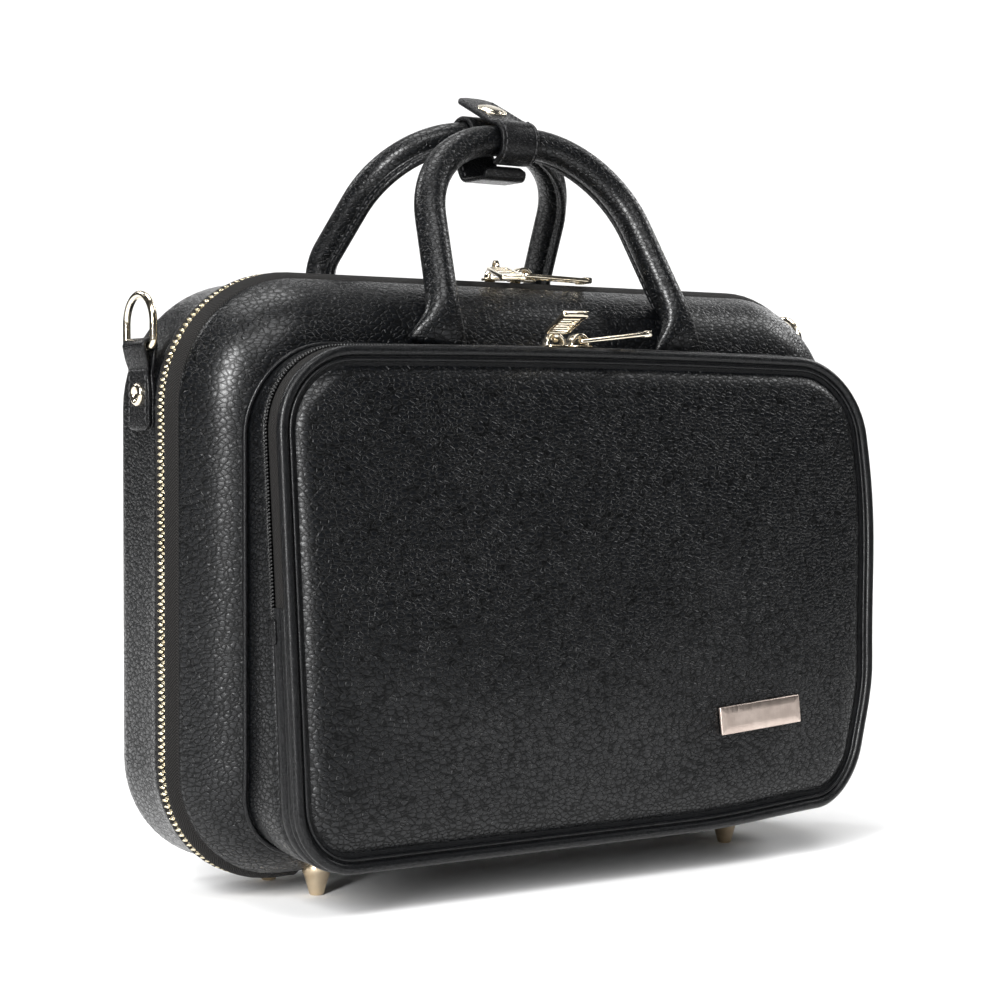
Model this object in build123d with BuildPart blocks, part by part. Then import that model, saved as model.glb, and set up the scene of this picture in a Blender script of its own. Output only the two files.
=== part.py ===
from build123d import *
import os
from math import cos, radians, sin, sqrt

# Oboe case, millimetres. X runs to the right, -Y is the front, +Z is up.
# Y = 0 is the seam where the two halves meet, Z = 0 is the tips of the feet.

# Outline of the case, measured on the ridge of the main zip
ZIP_WIDTH = 307.6
ZIP_HEIGHT = 220.0
TOP_CORNER = 50.0
BOTTOM_CORNER = 43.0
FLOOR_GAP = 6.0
CLEARANCE = 0.3

# Shells
BACK_DEPTH = 47.0
BACK_ROUND = 22.0
FRONT_DEPTH = 30.5
FRONT_ROUND = 28.0
SHELL_WALL = 5.0

# Main zip
TAPE_THICKNESS = 1.0
TAPE_WIDTH = 7.6
TEETH_WIDTH = 2.5
TEETH_HEIGHT = 2.0
ZIP_END_X = 102.0
ZIP_TAB_LENGTH = 4.5
STRIP_THICKNESS = 1.8
STRIP_WIDTH = 9.0
STRIP_EDGE_ROUND = 1.2

# Inside
BLOCK_DROP = 5.0
PAD_THICKNESS = 9.0
TRAY_ROUND = 9.0
TOP_JOINT_LENGTH = 246.0
TOP_JOINT_WIDTH = 34.0
TOP_JOINT_DEPTH = 27.0
LOWER_JOINT_LENGTH = 262.0
LOWER_JOINT_WIDTH = 40.0
LOWER_JOINT_DEPTH = 29.0
BELL_LENGTH = 128.0
BELL_WIDTH = 54.0
BELL_DEPTH = 33.0
REED_LENGTH = 112.0
REED_WIDTH = 52.0
REED_DEPTH = 24.0
TOOL_LENGTH = 190.0
TOOL_WIDTH = 20.0
TOOL_DEPTH = 20.0
TRAY_WALL = 12.0

# Feet
FOOT_X = 96.8
FRONT_FOOT_Y = -11.3
BACK_FOOT_Y = 24.0
FOOT_BASE_DIAMETER = 10.4
FOOT_TIP_DIAMETER = 5.4
FOOT_TIP_ROUND = 0.8

# Strap tabs and their D-rings
TAB_WIDTH = 16.4
TAB_BOTTOM_Z = 168.0
TAB_THICKNESS = 3.2
TAB_LEAF = 1.5
TAB_Y = 16.6
RING_WIRE = 2.8
RING_WIDTH = 24.0
RING_HEIGHT = 21.6
RING_CORNER = 2.2
RING_JOIN = 0.2
RING_STANDOFF = 0.6
RING_BAR_Z = 198.0
RIVET_DIAMETER = 8.4
RIVET_HEIGHT = 1.6
RIVET_Z = 181.0

# Handles, with the Y and Z of their pivots and tops
HANDLE_DIAMETER = 11.8
HANDLE_GAP = 1.0
FRONT_HALF_SPACING = 53.0
FRONT_PIVOT_RISE = 8.5
FRONT_TOP_Y = 0.0
FRONT_TOP_Z = 280.2
FRONT_ARCH_RADIUS = 47.0
BACK_HALF_SPACING = 52.0
BACK_PIVOT_Z = 206.0
BACK_STANDOFF = 4.0
BACK_KNEE_Y = 60.0
BACK_KNEE_Z = 238.0
BACK_KNEE_RADIUS = 20.0
BACK_TOP_Y = 19.0
BACK_TOP_Z = 283.5
BACK_ARCH_RADIUS = 50.0
ANCHOR_WIDTH = 25.0
ANCHOR_HEIGHT = 10.5
ANCHOR_DROP = 2.5
ANCHOR_THICKNESS = 5.0
ANCHOR_ROUND = 2.0

# Handle wrap and its snap
WRAP_WIDTH = 17.4
WRAP_X = -3.3
WRAP_LEATHER = 1.8
WRAP_SLACK = 1.0
WRAP_SAG = 0.5
WRAP_SLING_Z = 267.0
SLING_REACH = 4.0
SLING_BACK = 1.0
SLING_FRONT_ROUND = 2.0
SLING_BACK_ROUND = 5.0
SLING_END_DEGREES = -35.0
FLAP_LENGTH = 19.0
FLAP_TILT = 25.0
FLAP_CORNER = 5.0
SNAP_PLACE = 12.5
SNAP_CAP_DIAMETER = 12.0
SNAP_CAP_HEIGHT = 1.5
RIM_SHARE = 0.7
SNAP_SOCKET_DIAMETER = 8.5
SNAP_SOCKET_HEIGHT = 1.2
SNAP_STUD_DIAMETER = 6.0
SNAP_STUD_HEIGHT = 3.5

# Front pocket: its side wall stands on the front shell, its panel leans
POCKET_SIDE_MARGIN = 19.6
POCKET_HEIGHT = 177.7
POCKET_BOTTOM_Z = 19.8
POCKET_TOP_CORNER = 31.0
POCKET_BOTTOM_CORNER = 23.0
POCKET_REACH = 53.8
POCKET_LEAN = 4.9
WALL_OVERRUN = 1.5
GUSSET_WALL = 2.2
BEAD_HEIGHT = 1.8
PIPING_DIAMETER = 4.2
PIPING_SHARE = 0.9
PANEL_THICKNESS = 3.2
PANEL_EDGE_ROUND = 1.5
COIL_WIDTH = 1.3
COIL_PROUD = 0.5
COIL_BEHIND = 7.0
POCKET_TAPE_THICKNESS = 1.4
FOLD_Z = 104.0
POCKET_TAB_LENGTH = 9.0
POCKET_TAB_THICKNESS = 1.0
PLATE_WIDTH = 40.6
PLATE_HEIGHT = 10.7
PLATE_THICKNESS = 1.5
PLATE_BEVEL = 0.5
PLATE_X = 72.0
PLATE_Z = 58.0
PLATE_TURN = 3.0

# Sliders and pulls
MAIN_SLIDER_LEFT_X = -9.7
MAIN_SLIDER_RIGHT_X = 2.4
POCKET_SLIDER_LEFT_X = -9.5
POCKET_SLIDER_RIGHT_X = 1.5
SLIDER_LENGTH = 10.4
SLIDER_WIDTH = 9.0
SLIDER_CORNER = 3.0
SLIDER_PLATE = 1.0
FLANGE_WIDTH = 1.2
FLANGE_SHORTER = 6.0
POCKET_SLIDER_LIFT = 0.9
BRIDGE_HEIGHT = 4.6
BRIDGE_THICKNESS = 1.4
BRIDGE_WIDTH = 2.6
PULL_LENGTH = 29.0
PULL_WIDTH = 9.6
PULL_THICKNESS = 1.6
PULL_RAIL = 1.7
PULL_SLOTS = 4
EYE_RADIUS = 3.1
EYE_HOLE = 2.0
EYE_WIDTH = 1.8
EYE_OVERLAP = 0.5
PULL_CORNER = 2.0
SLOT_CORNER = 0.6
BAR_RISE = 0.3
MAIN_LEFT_YAW = -111.0
MAIN_LEFT_PITCH = -11.0
MAIN_RIGHT_YAW = -14.0
MAIN_RIGHT_PITCH = -3.0
POCKET_LEFT_YAW = -110.0
POCKET_LEFT_PITCH = 13.0
POCKET_RIGHT_YAW = -20.0
POCKET_RIGHT_PITCH = 7.0

# Worked-out places
SHELL_INSET = TAPE_THICKNESS + TEETH_HEIGHT
ZIP_MID_Z = FLOOR_GAP + ZIP_HEIGHT / 2
ZIP_TOP_Z = FLOOR_GAP + ZIP_HEIGHT
SHELL_SIDE_X = ZIP_WIDTH / 2 - SHELL_INSET
SHELL_BOTTOM_Z = FLOOR_GAP + SHELL_INSET
SEAM_GAP = CLEARANCE / 2
LINING_INSET = SHELL_INSET + SHELL_WALL + CLEARANCE
HANDLE_RADIUS = HANDLE_DIAMETER / 2
BACK_PIVOT_Y = BACK_DEPTH + BACK_STANDOFF + CLEARANCE + HANDLE_RADIUS
FRONT_ROUND_Y = -(FRONT_DEPTH - FRONT_ROUND)
FRONT_ROUND_Z = ZIP_TOP_Z - SHELL_INSET - FRONT_ROUND
POCKET_WIDTH = ZIP_WIDTH - 2 * POCKET_SIDE_MARGIN
POCKET_MID_Z = POCKET_BOTTOM_Z + POCKET_HEIGHT / 2
POCKET_TOP_Z = POCKET_BOTTOM_Z + POCKET_HEIGHT
FRONT_PIVOT_Z = POCKET_TOP_Z + FRONT_PIVOT_RISE
PIVOT_REACH = FRONT_ROUND + HANDLE_GAP + HANDLE_RADIUS
FRONT_PIVOT_Y = FRONT_ROUND_Y - sqrt(PIVOT_REACH ** 2 - (FRONT_PIVOT_Z - FRONT_ROUND_Z) ** 2)
RING_X = SHELL_SIDE_X + TAB_THICKNESS / 2 + RING_STANDOFF


def rounded_outline(plane, width, height, top_corner, bottom_corner):
    """Rectangle with one radius for its upper corners and one for its lower corners."""
    with BuildSketch(plane) as outline:
        Rectangle(width, height)
        fillet(outline.vertices().group_by(Axis.Y)[-1], top_corner)
        fillet(outline.vertices().group_by(Axis.Y)[0], bottom_corner)
    return outline.sketch


def case_outline(y, inset):
    """Outline of the case at depth y, drawn in from the ridge of the zip."""
    plane = Plane(origin=(0, y, ZIP_MID_Z), x_dir=(-1, 0, 0), z_dir=(0, 1, 0))
    return rounded_outline(
        plane,
        ZIP_WIDTH - 2 * inset,
        ZIP_HEIGHT - 2 * inset,
        TOP_CORNER - inset,
        BOTTOM_CORNER - inset,
    )


def case_block(y, depth, inset, rounding):
    """Solid of the case outline from y to y + depth, with the edge of its far face rounded."""
    with BuildPart() as block:
        extrude(case_outline(y, inset), amount=depth)
        far_face = block.faces().sort_by(Axis.Y)[-1 if depth > 0 else 0]
        fillet(far_face.edges(), rounding)
    return block.part


def case_ring(y, depth, outer_inset, inner_inset):
    """Band round the case between two insets of its outline."""
    with BuildPart() as ring:
        extrude(case_outline(y, outer_inset), amount=depth)
        extrude(case_outline(y, inner_inset), amount=depth, mode=Mode.SUBTRACT)
    return ring.part


def front_skin(proud):
    """Solid of the front shell's outside, grown by proud."""
    return case_block(0, -(FRONT_DEPTH + proud), SHELL_INSET - proud, FRONT_ROUND + proud)


def box_between(x_range, y_range, z_range):
    """Box given by its low and high sides."""
    middle = tuple((low + high) / 2 for low, high in (x_range, y_range, z_range))
    size = tuple(high - low for low, high in (x_range, y_range, z_range))
    with BuildPart() as box:
        with Locations(middle):
            Box(*size)
    return box.part


os.makedirs("parts", exist_ok=True)

# Shells
with BuildPart() as back_shell:
    add(case_block(SEAM_GAP, BACK_DEPTH - SEAM_GAP, SHELL_INSET, BACK_ROUND))
    add(
        case_block(
            SEAM_GAP,
            BACK_DEPTH - SEAM_GAP - SHELL_WALL,
            SHELL_INSET + SHELL_WALL,
            BACK_ROUND - SHELL_WALL,
        ),
        mode=Mode.SUBTRACT,
    )
back_shell.part.label = "back_shell"
export_step(back_shell.part, "parts/back_shell.step")

with BuildPart() as front_shell:
    add(case_block(-SEAM_GAP, SEAM_GAP - FRONT_DEPTH, SHELL_INSET, FRONT_ROUND))
    add(
        case_block(
            -SEAM_GAP,
            SEAM_GAP - FRONT_DEPTH + SHELL_WALL,
            SHELL_INSET + SHELL_WALL,
            FRONT_ROUND - SHELL_WALL,
        ),
        mode=Mode.SUBTRACT,
    )
front_shell.part.label = "front_shell"
export_step(front_shell.part, "parts/front_shell.step")

# Plush-covered block with a recess for each piece of the instrument
BLOCK_FLOOR_Y = BACK_DEPTH - SHELL_WALL - CLEARANCE
TOP_JOINT_Z = ZIP_TOP_Z - LINING_INSET - TRAY_WALL - TOP_JOINT_WIDTH / 2
LOWER_JOINT_Z = TOP_JOINT_Z - (TOP_JOINT_WIDTH + LOWER_JOINT_WIDTH) / 2 - TRAY_WALL
BELL_Z = LOWER_JOINT_Z - (LOWER_JOINT_WIDTH + BELL_WIDTH) / 2 - TRAY_WALL
TOOL_Z = FLOOR_GAP + LINING_INSET + TRAY_WALL / 2 + TOOL_WIDTH / 2
BELL_X = -(BELL_LENGTH + TRAY_WALL) / 2
REED_X = (REED_LENGTH + TRAY_WALL) / 2
RECESSES = (
    (0, TOP_JOINT_Z, TOP_JOINT_LENGTH, TOP_JOINT_WIDTH, TOP_JOINT_DEPTH),
    (0, LOWER_JOINT_Z, LOWER_JOINT_LENGTH, LOWER_JOINT_WIDTH, LOWER_JOINT_DEPTH),
    (BELL_X, BELL_Z, BELL_LENGTH, BELL_WIDTH, BELL_DEPTH),
    (REED_X, BELL_Z, REED_LENGTH, REED_WIDTH, REED_DEPTH),
    (0, TOOL_Z, TOOL_LENGTH, TOOL_WIDTH, TOOL_DEPTH),
)


def recess(x, z, length, width, depth):
    """Round-ended trough sunk into the top of the block."""
    mouth = Plane(origin=(x, BLOCK_DROP, z), x_dir=(1, 0, 0), z_dir=(0, -1, 0))
    with BuildPart() as trough:
        with BuildSketch(mouth):
            RectangleRounded(length, width, TRAY_ROUND)
        extrude(amount=-depth)
        fillet(trough.faces().sort_by(Axis.Y)[-1].edges(), TRAY_ROUND - 1)
    return trough.part


with BuildPart() as instrument_block:
    add(case_block(0, BLOCK_FLOOR_Y, LINING_INSET, BACK_ROUND - SHELL_WALL - CLEARANCE))
    split(bisect_by=Plane.XZ.offset(-BLOCK_DROP), keep=Keep.BOTTOM)
    for place in RECESSES:
        add(recess(*place), mode=Mode.SUBTRACT)
instrument_block.part.label = "instrument_block"
export_step(instrument_block.part, "parts/instrument_block.step")

PAD_FACE_Y = FRONT_DEPTH - SHELL_WALL - CLEARANCE
with BuildPart() as lid_pad:
    add(case_block(0, -PAD_FACE_Y, LINING_INSET, FRONT_ROUND - SHELL_WALL - CLEARANCE))
    split(bisect_by=Plane.XZ.offset(PAD_FACE_Y - PAD_THICKNESS), keep=Keep.TOP)
lid_pad.part.label = "lid_pad"
export_step(lid_pad.part, "parts/lid_pad.step")

# Main zip: one tape and one row of teeth on each half, open along the bottom
zip_mouth = box_between((-ZIP_END_X, ZIP_END_X), (-TAPE_WIDTH - 1, TAPE_WIDTH + 1), (0, BOTTOM_CORNER))
for side, half in ((1, "back"), (-1, "front")):
    with BuildPart() as zip_tape:
        add(case_ring(side * SEAM_GAP, side * TAPE_WIDTH, TEETH_HEIGHT, SHELL_INSET))
        add(zip_mouth, mode=Mode.SUBTRACT)
    zip_tape.part.label = half + "_zip_tape"
    export_step(zip_tape.part, "parts/" + half + "_zip_tape.step")

    with BuildPart() as zip_teeth:
        add(case_ring(side * SEAM_GAP, side * TEETH_WIDTH, 0, TEETH_HEIGHT))
        add(zip_mouth, mode=Mode.SUBTRACT)
    zip_teeth.part.label = half + "_zip_teeth"
    export_step(zip_teeth.part, "parts/" + half + "_zip_teeth.step")

# Leather hinge strip along the bottom, as its two leaves either side of the fold
STRIP_HALF_LENGTH = FOOT_X - FOOT_BASE_DIAMETER / 2 - CLEARANCE
strip_z = (SHELL_BOTTOM_Z - STRIP_THICKNESS, SHELL_BOTTOM_Z)
strip_x = (-STRIP_HALF_LENGTH, STRIP_HALF_LENGTH)
with BuildPart() as hinge_strip_back:
    add(box_between(strip_x, (SEAM_GAP, STRIP_WIDTH), strip_z))
    back_edges = hinge_strip_back.edges().filter_by(Axis.X).group_by(Axis.Y)[-1]
    fillet(back_edges.sort_by(Axis.Z)[0], STRIP_EDGE_ROUND)
    add(case_block(SEAM_GAP, BACK_DEPTH - SEAM_GAP, SHELL_INSET, BACK_ROUND), mode=Mode.SUBTRACT)
hinge_strip_back.part.label = "hinge_strip_back"
export_step(hinge_strip_back.part, "parts/hinge_strip_back.step")

with BuildPart() as hinge_strip_front:
    add(box_between(strip_x, (-STRIP_WIDTH, -SEAM_GAP), (strip_z[0], strip_z[1] + 1)))
    front_edges = hinge_strip_front.edges().filter_by(Axis.X).group_by(Axis.Y)[0]
    fillet(front_edges.sort_by(Axis.Z)[0], STRIP_EDGE_ROUND)
    add(front_skin(0), mode=Mode.SUBTRACT)
hinge_strip_front.part.label = "hinge_strip_front"
export_step(hinge_strip_front.part, "parts/hinge_strip_front.step")

# Leather tabs that close the ends of the main zip
with BuildPart() as zip_end_tabs:
    for side in (-1, 1):
        inner = side * (ZIP_END_X - ZIP_TAB_LENGTH)
        outer = side * (ZIP_END_X - CLEARANCE)
        add(
            box_between(
                (min(inner, outer), max(inner, outer)),
                (SEAM_GAP, TAPE_WIDTH),
                (FLOOR_GAP + CLEARANCE, SHELL_BOTTOM_Z),
            )
        )
zip_end_tabs.part.label = "zip_end_tabs"
export_step(zip_end_tabs.part, "parts/zip_end_tabs.step")


# Feet: turned metal cones under both halves
def foot(x, y):
    """One cone, tall enough to run into the shell above it."""
    with BuildPart() as cone:
        with Locations((x, y, 0)):
            Cone(
                FOOT_TIP_DIAMETER / 2,
                FOOT_BASE_DIAMETER / 2,
                SHELL_BOTTOM_Z,
                align=(Align.CENTER, Align.CENTER, Align.MIN),
            )
        fillet(cone.faces().sort_by(Axis.Z)[0].edges(), FOOT_TIP_ROUND)
        with Locations((x, y, SHELL_BOTTOM_Z)):
            Cylinder(
                FOOT_BASE_DIAMETER / 2,
                FOOT_BASE_DIAMETER / 2,
                align=(Align.CENTER, Align.CENTER, Align.MIN),
            )
    return cone.part


with BuildPart() as back_feet:
    for side in (-1, 1):
        add(foot(side * FOOT_X, BACK_FOOT_Y))
    add(case_block(0, BACK_DEPTH, SHELL_INSET, BACK_ROUND), mode=Mode.SUBTRACT)
back_feet.part.label = "back_feet"
export_step(back_feet.part, "parts/back_feet.step")

with BuildPart() as front_feet:
    for side in (-1, 1):
        add(foot(side * FOOT_X, FRONT_FOOT_Y))
    add(front_skin(0), mode=Mode.SUBTRACT)
front_feet.part.label = "front_feet"
export_step(front_feet.part, "parts/front_feet.step")

# Strap tabs folded round the bar of each D-ring, and the rivet through each
RING_WIRE_RADIUS = RING_WIRE / 2
RING_HOLE_RADIUS = RING_WIRE_RADIUS + CLEARANCE
RING_SPAN = RING_WIDTH - RING_WIRE
RING_RISE = RING_HEIGHT - RING_WIRE
for side, name in ((-1, "left"), (1, "right")):
    section = Plane(origin=(0, TAB_Y, 0), x_dir=(1, 0, 0), z_dir=(0, -1, 0))
    with BuildPart() as strap_tab:
        with BuildSketch(section):
            with Locations((side * (SHELL_SIDE_X + TAB_THICKNESS / 2), (TAB_BOTTOM_Z + RING_BAR_Z) / 2)):
                Rectangle(TAB_THICKNESS, RING_BAR_Z - TAB_BOTTOM_Z)
            with Locations((side * RING_X, RING_BAR_Z)):
                Circle(RING_HOLE_RADIUS + TAB_LEAF)
                Circle(RING_HOLE_RADIUS, mode=Mode.SUBTRACT)
        extrude(amount=TAB_WIDTH / 2, both=True)
    strap_tab.part.label = "strap_tab_" + name
    export_step(strap_tab.part, "parts/strap_tab_" + name + ".step")

    ring_plane = Plane(origin=(side * RING_X, TAB_Y, RING_BAR_Z), x_dir=(0, 1, 0), z_dir=(1, 0, 0))
    with BuildPart() as d_ring:
        with BuildLine(ring_plane) as ring_path:
            FilletPolyline(
                (-RING_SPAN / 2, 0),
                (RING_SPAN / 2, 0),
                (RING_SPAN / 2, RING_RISE),
                (-RING_SPAN / 2, RING_RISE),
                radius=(RING_CORNER, RING_CORNER, RING_SPAN / 2 - RING_JOIN, RING_SPAN / 2 - RING_JOIN),
                close=True,
            )
        start = ring_path.edges().filter_by(Axis.Y).sort_by(Axis.Z)[0]
        with BuildSketch(Plane(origin=start @ 0.5, x_dir=(1, 0, 0), z_dir=start % 0.5)):
            Circle(RING_WIRE_RADIUS)
        sweep(path=ring_path.wires()[0])
    d_ring.part.label = "d_ring_" + name
    export_step(d_ring.part, "parts/d_ring_" + name + ".step")

with BuildPart() as tab_rivets:
    for side in (-1, 1):
        face = Plane(
            origin=(side * (SHELL_SIDE_X + TAB_THICKNESS), TAB_Y, RIVET_Z),
            x_dir=(0, 1, 0),
            z_dir=(side, 0, 0),
        )
        with BuildSketch(face):
            Circle(RIVET_DIAMETER / 2)
        extrude(amount=RIVET_HEIGHT)
    rims = tab_rivets.edges().filter_by(GeomType.CIRCLE).group_by(Axis.X)
    fillet(rims[0] + rims[-1], RIVET_HEIGHT * RIM_SHARE)
tab_rivets.part.label = "tab_rivets"
export_step(tab_rivets.part, "parts/tab_rivets.step")


# Handles: rolled leather arches on ball ends, with sewn feet below them
def handle_arch(points, radii):
    """Round bar along a filleted path, with a ball at each end."""
    with BuildPart() as arch:
        with BuildLine() as path:
            FilletPolyline(*points, radius=radii)
        with BuildSketch(Plane(origin=path.line @ 0, z_dir=path.line % 0)):
            Circle(HANDLE_RADIUS)
        sweep(path=path.wires()[0])
        with Locations(points[0], points[-1]):
            Sphere(HANDLE_RADIUS)
    return arch.part


front_points = (
    (-FRONT_HALF_SPACING, FRONT_PIVOT_Y, FRONT_PIVOT_Z),
    (-FRONT_HALF_SPACING, FRONT_TOP_Y, FRONT_TOP_Z),
    (FRONT_HALF_SPACING, FRONT_TOP_Y, FRONT_TOP_Z),
    (FRONT_HALF_SPACING, FRONT_PIVOT_Y, FRONT_PIVOT_Z),
)
with BuildPart() as handle_front:
    add(handle_arch(front_points, (FRONT_ARCH_RADIUS, FRONT_ARCH_RADIUS)))
handle_front.part.label = "handle_front"
export_step(handle_front.part, "parts/handle_front.step")

back_points = (
    (-BACK_HALF_SPACING, BACK_PIVOT_Y, BACK_PIVOT_Z),
    (-BACK_HALF_SPACING, BACK_KNEE_Y, BACK_KNEE_Z),
    (-BACK_HALF_SPACING, BACK_TOP_Y, BACK_TOP_Z),
    (BACK_HALF_SPACING, BACK_TOP_Y, BACK_TOP_Z),
    (BACK_HALF_SPACING, BACK_KNEE_Y, BACK_KNEE_Z),
    (BACK_HALF_SPACING, BACK_PIVOT_Y, BACK_PIVOT_Z),
)
with BuildPart() as handle_back:
    add(handle_arch(back_points, (BACK_KNEE_RADIUS, BACK_ARCH_RADIUS, BACK_ARCH_RADIUS, BACK_KNEE_RADIUS)))
handle_back.part.label = "handle_back"
export_step(handle_back.part, "parts/handle_back.step")

ball_room = HANDLE_RADIUS + CLEARANCE
with BuildPart() as handle_feet_front:
    for side in (-1, 1):
        x = side * FRONT_HALF_SPACING
        add(
            box_between(
                (x - ANCHOR_WIDTH / 2, x + ANCHOR_WIDTH / 2),
                (FRONT_PIVOT_Y, FRONT_PIVOT_Y + 2 * ANCHOR_THICKNESS),
                (POCKET_TOP_Z + BEAD_HEIGHT + CLEARANCE, FRONT_PIVOT_Z - ANCHOR_DROP),
            )
        )
    fillet(handle_feet_front.edges().filter_by(Axis.Z).group_by(Axis.Y)[0], ANCHOR_ROUND)
    add(front_skin(0), mode=Mode.SUBTRACT)
    with Locations(front_points[0], front_points[-1]):
        Sphere(ball_room, mode=Mode.SUBTRACT)
handle_feet_front.part.label = "handle_feet_front"
export_step(handle_feet_front.part, "parts/handle_feet_front.step")

with BuildPart() as handle_feet_back:
    for side in (-1, 1):
        x = side * BACK_HALF_SPACING
        add(
            box_between(
                (x - ANCHOR_WIDTH / 2, x + ANCHOR_WIDTH / 2),
                (BACK_DEPTH, BACK_DEPTH + BACK_STANDOFF + ANCHOR_THICKNESS),
                (BACK_PIVOT_Z - ANCHOR_DROP - ANCHOR_HEIGHT, BACK_PIVOT_Z - ANCHOR_DROP),
            )
        )
    fillet(handle_feet_back.edges().filter_by(Axis.Z).group_by(Axis.Y)[-1], ANCHOR_ROUND)
    add(case_block(0, BACK_DEPTH, SHELL_INSET, BACK_ROUND), mode=Mode.SUBTRACT)
    with Locations(back_points[0], back_points[-1]):
        Sphere(ball_room, mode=Mode.SUBTRACT)
handle_feet_back.part.label = "handle_feet_back"
export_step(handle_feet_back.part, "parts/handle_feet_back.step")

# Handle wrap: drawn in section, across the handles
wrap_section = Plane(origin=(WRAP_X, 0, 0), x_dir=(0, 1, 0), z_dir=(1, 0, 0))
WRAP_INNER = HANDLE_RADIUS + WRAP_SLACK
WRAP_OUTER = WRAP_INNER + WRAP_LEATHER
WRAP_MIDDLE = WRAP_INNER + WRAP_LEATHER / 2
SLING_END_ANGLE = radians(SLING_END_DEGREES)

with BuildPart() as wrap_front:
    with BuildSketch(wrap_section):
        with Locations((FRONT_TOP_Y, FRONT_TOP_Z - WRAP_SAG)):
            Circle(WRAP_OUTER)
            Circle(WRAP_INNER, mode=Mode.SUBTRACT)
            Rectangle(
                WRAP_OUTER,
                2 * WRAP_OUTER,
                align=(Align.MIN, Align.CENTER),
                mode=Mode.SUBTRACT,
            )
    extrude(amount=WRAP_WIDTH / 2, both=True)
wrap_front.part.label = "wrap_front"
export_step(wrap_front.part, "parts/wrap_front.step")

with BuildPart() as wrap_back:
    with BuildSketch(wrap_section):
        with Locations((BACK_TOP_Y, BACK_TOP_Z - WRAP_SAG)):
            Circle(WRAP_OUTER)
        with BuildLine():
            FilletPolyline(
                (FRONT_TOP_Y + WRAP_LEATHER, FRONT_TOP_Z - WRAP_SAG - WRAP_OUTER - CLEARANCE),
                (FRONT_TOP_Y + SLING_REACH, WRAP_SLING_Z),
                (BACK_TOP_Y - SLING_BACK, WRAP_SLING_Z),
                (
                    BACK_TOP_Y + WRAP_MIDDLE * cos(SLING_END_ANGLE),
                    BACK_TOP_Z - WRAP_SAG + WRAP_MIDDLE * sin(SLING_END_ANGLE),
                ),
                radius=(SLING_FRONT_ROUND, SLING_BACK_ROUND),
            )
        trace(line_width=WRAP_LEATHER)
        with Locations((BACK_TOP_Y, BACK_TOP_Z - WRAP_SAG)):
            Circle(WRAP_INNER, mode=Mode.SUBTRACT)
    extrude(amount=WRAP_WIDTH / 2, both=True)
wrap_back.part.label = "wrap_back"
export_step(wrap_back.part, "parts/wrap_back.step")

# Flap: its plane rises to the rear; flap_plane has X along the flap and Z out of its top
FLAP_HINGE_Y = FRONT_TOP_Y
FLAP_HINGE_Z = FRONT_TOP_Z - WRAP_SAG + WRAP_OUTER
tilt = radians(FLAP_TILT)
flap_top = Plane(
    origin=(WRAP_X, FLAP_HINGE_Y + CLEARANCE, FLAP_HINGE_Z),
    x_dir=(0, cos(tilt), sin(tilt)),
    z_dir=(0, -sin(tilt), cos(tilt)),
)
with BuildPart() as wrap_flap:
    with BuildSketch(flap_top):
        with Locations((WRAP_LEATHER / 2 + (FLAP_LENGTH - WRAP_LEATHER / 2) / 2, 0)):
            Rectangle(FLAP_LENGTH - WRAP_LEATHER / 2, WRAP_WIDTH)
    extrude(amount=-WRAP_LEATHER)
    flap_edges = wrap_flap.edges().filter_by(Axis(flap_top.origin, flap_top.z_dir))
    fillet(flap_edges.group_by(Axis.Y)[-1], FLAP_CORNER)
wrap_flap.part.label = "wrap_flap"
export_step(wrap_flap.part, "parts/wrap_flap.step")

with BuildPart() as snap_cap:
    with BuildSketch(flap_top):
        with Locations((SNAP_PLACE, 0)):
            Circle(SNAP_CAP_DIAMETER / 2)
    extrude(amount=SNAP_CAP_HEIGHT)
    cap_top = snap_cap.faces().sort_by(Axis(flap_top.origin, flap_top.z_dir))[-1]
    fillet(cap_top.edges(), SNAP_CAP_HEIGHT * RIM_SHARE)
snap_cap.part.label = "snap_cap"
export_step(snap_cap.part, "parts/snap_cap.step")

with BuildPart() as snap_socket:
    with BuildSketch(flap_top.offset(-WRAP_LEATHER)):
        with Locations((SNAP_PLACE, 0)):
            Circle(SNAP_SOCKET_DIAMETER / 2)
    extrude(amount=-SNAP_SOCKET_HEIGHT)
snap_socket.part.label = "snap_socket"
export_step(snap_socket.part, "parts/snap_socket.step")

with BuildPart() as snap_stud:
    with BuildSketch(flap_top.offset(-WRAP_LEATHER - SNAP_SOCKET_HEIGHT - CLEARANCE)):
        with Locations((SNAP_PLACE, 0)):
            Circle(SNAP_STUD_DIAMETER / 2)
    extrude(amount=-SNAP_STUD_HEIGHT)
    with BuildSketch(wrap_section):
        with Locations((BACK_TOP_Y, BACK_TOP_Z - WRAP_SAG)):
            Circle(WRAP_OUTER)
    extrude(amount=WRAP_WIDTH / 2, both=True, mode=Mode.SUBTRACT)
snap_stud.part.label = "snap_stud"
export_step(snap_stud.part, "parts/snap_stud.step")

# Front pocket
lean = radians(POCKET_LEAN)
LEANED_HEIGHT = POCKET_HEIGHT / cos(lean)


def panel_plane(out):
    """Plane of the leaning panel, moved outwards by out."""
    plane = Plane(
        origin=(0, -POCKET_REACH, POCKET_MID_Z),
        x_dir=(1, 0, 0),
        z_dir=(0, -cos(lean), sin(lean)),
    )
    return plane.offset(out)


def pocket_outline(plane, inset, height):
    """Outline of the pocket, drawn in by inset."""
    return rounded_outline(
        plane,
        POCKET_WIDTH - 2 * inset,
        height - 2 * inset,
        POCKET_TOP_CORNER - inset,
        POCKET_BOTTOM_CORNER - inset,
    )


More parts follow.
